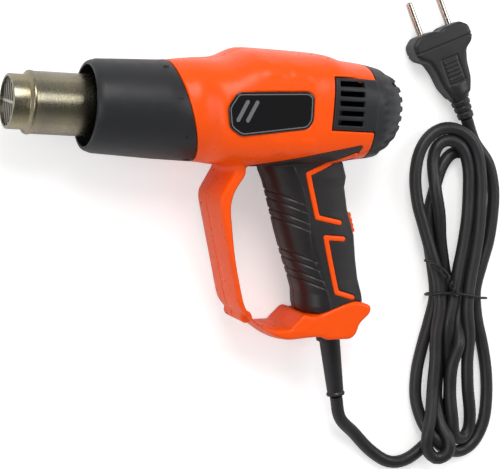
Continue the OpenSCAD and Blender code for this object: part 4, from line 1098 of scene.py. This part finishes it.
class HOTAIRGUN_OT_barrel(Operator):
    """Turns the steel nozzle tube and the front sleeve with its raised marks"""
    bl_idname = "hot_air_gun.barrel"
    bl_label = "Nozzle and sleeve"

    def execute(self, context):
        mouth = NOZZLE_R - 2
        tube = [(0, mouth - 1.6), (0, mouth - 0.5), (0.25, mouth - 0.15), (0.6, mouth), (9.3, mouth),
                (9.8, mouth + 0.35), (10.6, NOZZLE_R), (11.2, NOZZLE_R + 0.35), (12, NOZZLE_R + 0.45),
                (12.8, NOZZLE_R + 0.35), (13.4, NOZZLE_R), (X_JOINT + 3, NOZZLE_R), (X_JOINT + 3, 16.2),
                (13.6, 16.2), (11, mouth - 0.8), (0.8, mouth - 0.8), (0.8, mouth - 1.6)]
        obj = turned("nozzle_skin", [(x, r, 0) for x, r in tube], 160, gun_matrix())
        self.sharpen(obj)
        placed(obj, "gun", made("nozzle_steel"), "nozzle_steel", "nozzle_tube")
        front, joint = 25.75, X_JOINT - 0.25
        sleeve = [(X_SLEEVE, front - 3.4, 0), (X_SLEEVE, front - 2.1, 0), (X_SLEEVE + 0.3, front - 1.6, 0),
                  (X_SLEEVE + 1, front - 1.1, 0), (X_SLEEVE + 4, front - 0.15, 0),
                  (X_SLEEVE + 5, front, 0), (X_JOINT - 14, SLEEVE_R - 0.35, 0),
                  (joint - 0.7, SLEEVE_R, SLANT), (joint - 0.15, SLEEVE_R - 0.25, SLANT),
                  (joint, SLEEVE_R - 0.8, SLANT), (joint, SLEEVE_R - 2.6, SLANT),
                  (X_JOINT - 24, SLEEVE_R - 2.6, 0), (X_SLEEVE + 4, front - 2.6, 0),
                  (X_SLEEVE + 0.8, front - 3.4, 0)]
        obj = turned("sleeve_shell", sleeve, 160, gun_matrix())
        self.sharpen(obj)
        placed(obj, "gun", made("sleeve_black"), "sleeve_black", "front_sleeve")
        marks = self.marks(context.scene.gun_sizes.sleeve_marks)
        placed(marks, "gun", made("sleeve_black"), "sleeve_black")
        return {"FINISHED"}

    def sharpen(self, obj):
        obj.data.set_sharp_from_angle(angle=radians(40))

    def marks(self, count):
        """Small raised wedges round the sleeve in front of the slanted joint."""
        wedge = mesh_object("sleeve_marks", [
            (-2.2, -1.3, -1), (1.6, -1.3, -1), (1.6, 1.3, -1), (-1.6, -1.1, 0.35), (1.2, -1.1, 0.35),
            (1.2, 0.9, 0.35)], [(2, 1, 0), (3, 4, 5), (0, 1, 4, 3), (1, 2, 5, 4), (2, 0, 3, 5)])
        group = node_group("marks_round_sleeve", ("Count", "NodeSocketInt", 8),
                           ("Radius", "NodeSocketFloat", SLEEVE_R), ("Slant", "NodeSocketFloat", SLANT),
                           ("Station", "NodeSocketFloat", X_JOINT - 4))
        new, link = group.nodes.new, group.links.new
        start, end = new("NodeGroupInput"), new("NodeGroupOutput")
        line, spread = new("GeometryNodeMeshLine"), new("GeometryNodeInstanceOnPoints")
        index, turn = new("GeometryNodeInputIndex"), new("ShaderNodeMath")
        turn.operation = "DIVIDE"
        full, sine, cosine = (new("ShaderNodeMath") for _ in range(3))
        full.operation, sine.operation, cosine.operation = "MULTIPLY_ADD", "SINE", "COSINE"
        full.inputs[1].default_value, full.inputs[2].default_value = 2 * pi, 0.35
        height, depth, lean, station = (new("ShaderNodeMath") for _ in range(4))
        height.operation = depth.operation = lean.operation = "MULTIPLY"
        station.operation = "SUBTRACT"
        place, spin = new("ShaderNodeCombineXYZ"), new("ShaderNodeCombineXYZ")
        minus = new("ShaderNodeMath")
        minus.operation, minus.inputs[0].default_value = "SUBTRACT", 0
        real, paint = new("GeometryNodeRealizeInstances"), new("GeometryNodeSetMaterial")
        paint.inputs["Material"].default_value = made("sleeve_black")
        put = new("GeometryNodeSetPosition")
        link(start.outputs["Count"], line.inputs["Count"])
        link(index.outputs[0], turn.inputs[0])
        link(start.outputs["Count"], turn.inputs[1])
        link(turn.outputs[0], full.inputs[0])
        link(full.outputs[0], sine.inputs[0])
        link(full.outputs[0], cosine.inputs[0])
        link(sine.outputs[0], height.inputs[0])
        link(cosine.outputs[0], depth.inputs[0])
        for part in (height, depth):
            link(start.outputs["Radius"], part.inputs[1])
        link(height.outputs[0], lean.inputs[0])
        link(start.outputs["Slant"], lean.inputs[1])
        link(start.outputs["Station"], station.inputs[0])
        link(lean.outputs[0], station.inputs[1])
        link(station.outputs[0], place.inputs["X"])
        link(height.outputs[0], place.inputs["Y"])
        link(depth.outputs[0], place.inputs["Z"])
        link(full.outputs[0], minus.inputs[1])
        link(minus.outputs[0], spin.inputs["X"])
        link(line.outputs["Mesh"], put.inputs["Geometry"])
        link(place.outputs[0], put.inputs["Position"])
        link(put.outputs["Geometry"], spread.inputs["Points"])
        link(start.outputs["Geometry"], spread.inputs["Instance"])
        link(spin.outputs[0], spread.inputs["Rotation"])
        link(spread.outputs["Instances"], real.inputs["Geometry"])
        link(real.outputs["Geometry"], paint.inputs["Geometry"])
        link(paint.outputs["Geometry"], end.inputs["Geometry"])
        obj = grown(wedge, group, None, Count=count, Radius=SLEEVE_R, Slant=SLANT, Station=X_JOINT - 4.5)
        obj.data.transform(gun_matrix())
        return obj


class HOTAIRGUN_OT_frame_finishes(Operator):
    """Gives every CAD node that stays its own procedural finish"""
    bl_idname = "hot_air_gun.frame_finishes"
    bl_label = "Finishes of the frame"

    finishes = {
        "nozzle_steel": ("nozzle_tube",), "grille_steel": ("nozzle_grille",),
        "sleeve_black": ("front_sleeve",), "mica": ("mica_tube",),
        "ceramic": ("heater_core", "heater_mount"), "coil_wire": ("heating_coils",),
        "zinc_steel": ("thermal_fuse", "motor_can", "motor_shaft", "clamp_screws"),
        "fan_plastic": ("air_duct", "fan_wheel"), "copper_winding": ("motor_armature",),
        "motor_plastic": ("motor_end_cap", "motor_mount"),
        "housing_orange": ("housing_left", "housing_right"), "screw_dark": ("housing_screws",),
        "cap_black": ("rear_cap",), "badge_gloss": ("badge_left", "badge_right"),
        "grip_rubber": ("grip_left", "grip_right"), "slider_orange": ("switch_slider",),
        "switch_black": ("switch_body", "cord_clamp"), "board_green": ("control_board",),
        "wire_red": ("wiring",), "block_white": ("terminal_block",),
        "cord_black": ("cord_entry", "cord_lead", "cord_hank", "cord_tail"),
        "plug_black": ("cord_sleeve", "plug_body"), "tie_black": ("cord_tie",),
        "pin_nickel": ("plug_pins",)}

    def execute(self, context):
        for kind, names in self.finishes.items():
            finish = made("housing_orange" if kind == "slider_orange" else kind)
            for name in names:
                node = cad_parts[name]
                for material_slot in node.material_slots:
                    material_slot.material = finish
                if not node.material_slots:
                    node.data.materials.append(finish)
        return {"FINISHED"}


class HOTAIRGUN_PT_panel(Panel):
    """Lists the gun's pieces with their sizes and colours"""
    bl_idname = "HOTAIRGUN_PT_panel"
    bl_label = "Hot-air gun"
    bl_space_type = "VIEW_3D"
    bl_region_type = "UI"
    bl_category = "Hot-air gun"

    def draw(self, context):
        for group in (context.scene.gun_sizes, context.scene.gun_colours):
            for name in group.__annotations__:
                self.layout.prop(group, name)
        for step in STEPS:
            self.layout.operator(step.bl_idname)


STEPS = (HOTAIRGUN_OT_stage, HOTAIRGUN_OT_cord, HOTAIRGUN_OT_casing, HOTAIRGUN_OT_cap,
         HOTAIRGUN_OT_grip, HOTAIRGUN_OT_plates, HOTAIRGUN_OT_barrel, HOTAIRGUN_OT_frame_finishes)
CLASSES = (GunSizes, GunColours, *STEPS, HOTAIRGUN_PT_panel)


def register():
    for cls in CLASSES:
        bpy.utils.register_class(cls)
    bpy.types.Scene.gun_sizes = PointerProperty(type=GunSizes)
    bpy.types.Scene.gun_colours = PointerProperty(type=GunColours)


def unregister():
    del bpy.types.Scene.gun_colours
    del bpy.types.Scene.gun_sizes
    for cls in reversed(CLASSES):
        bpy.utils.unregister_class(cls)


def main():
    register()
    for step in STEPS:
        group, name = step.bl_idname.split(".")
        getattr(getattr(bpy.ops, group), name)()


if __name__ == "__main__":
    main()
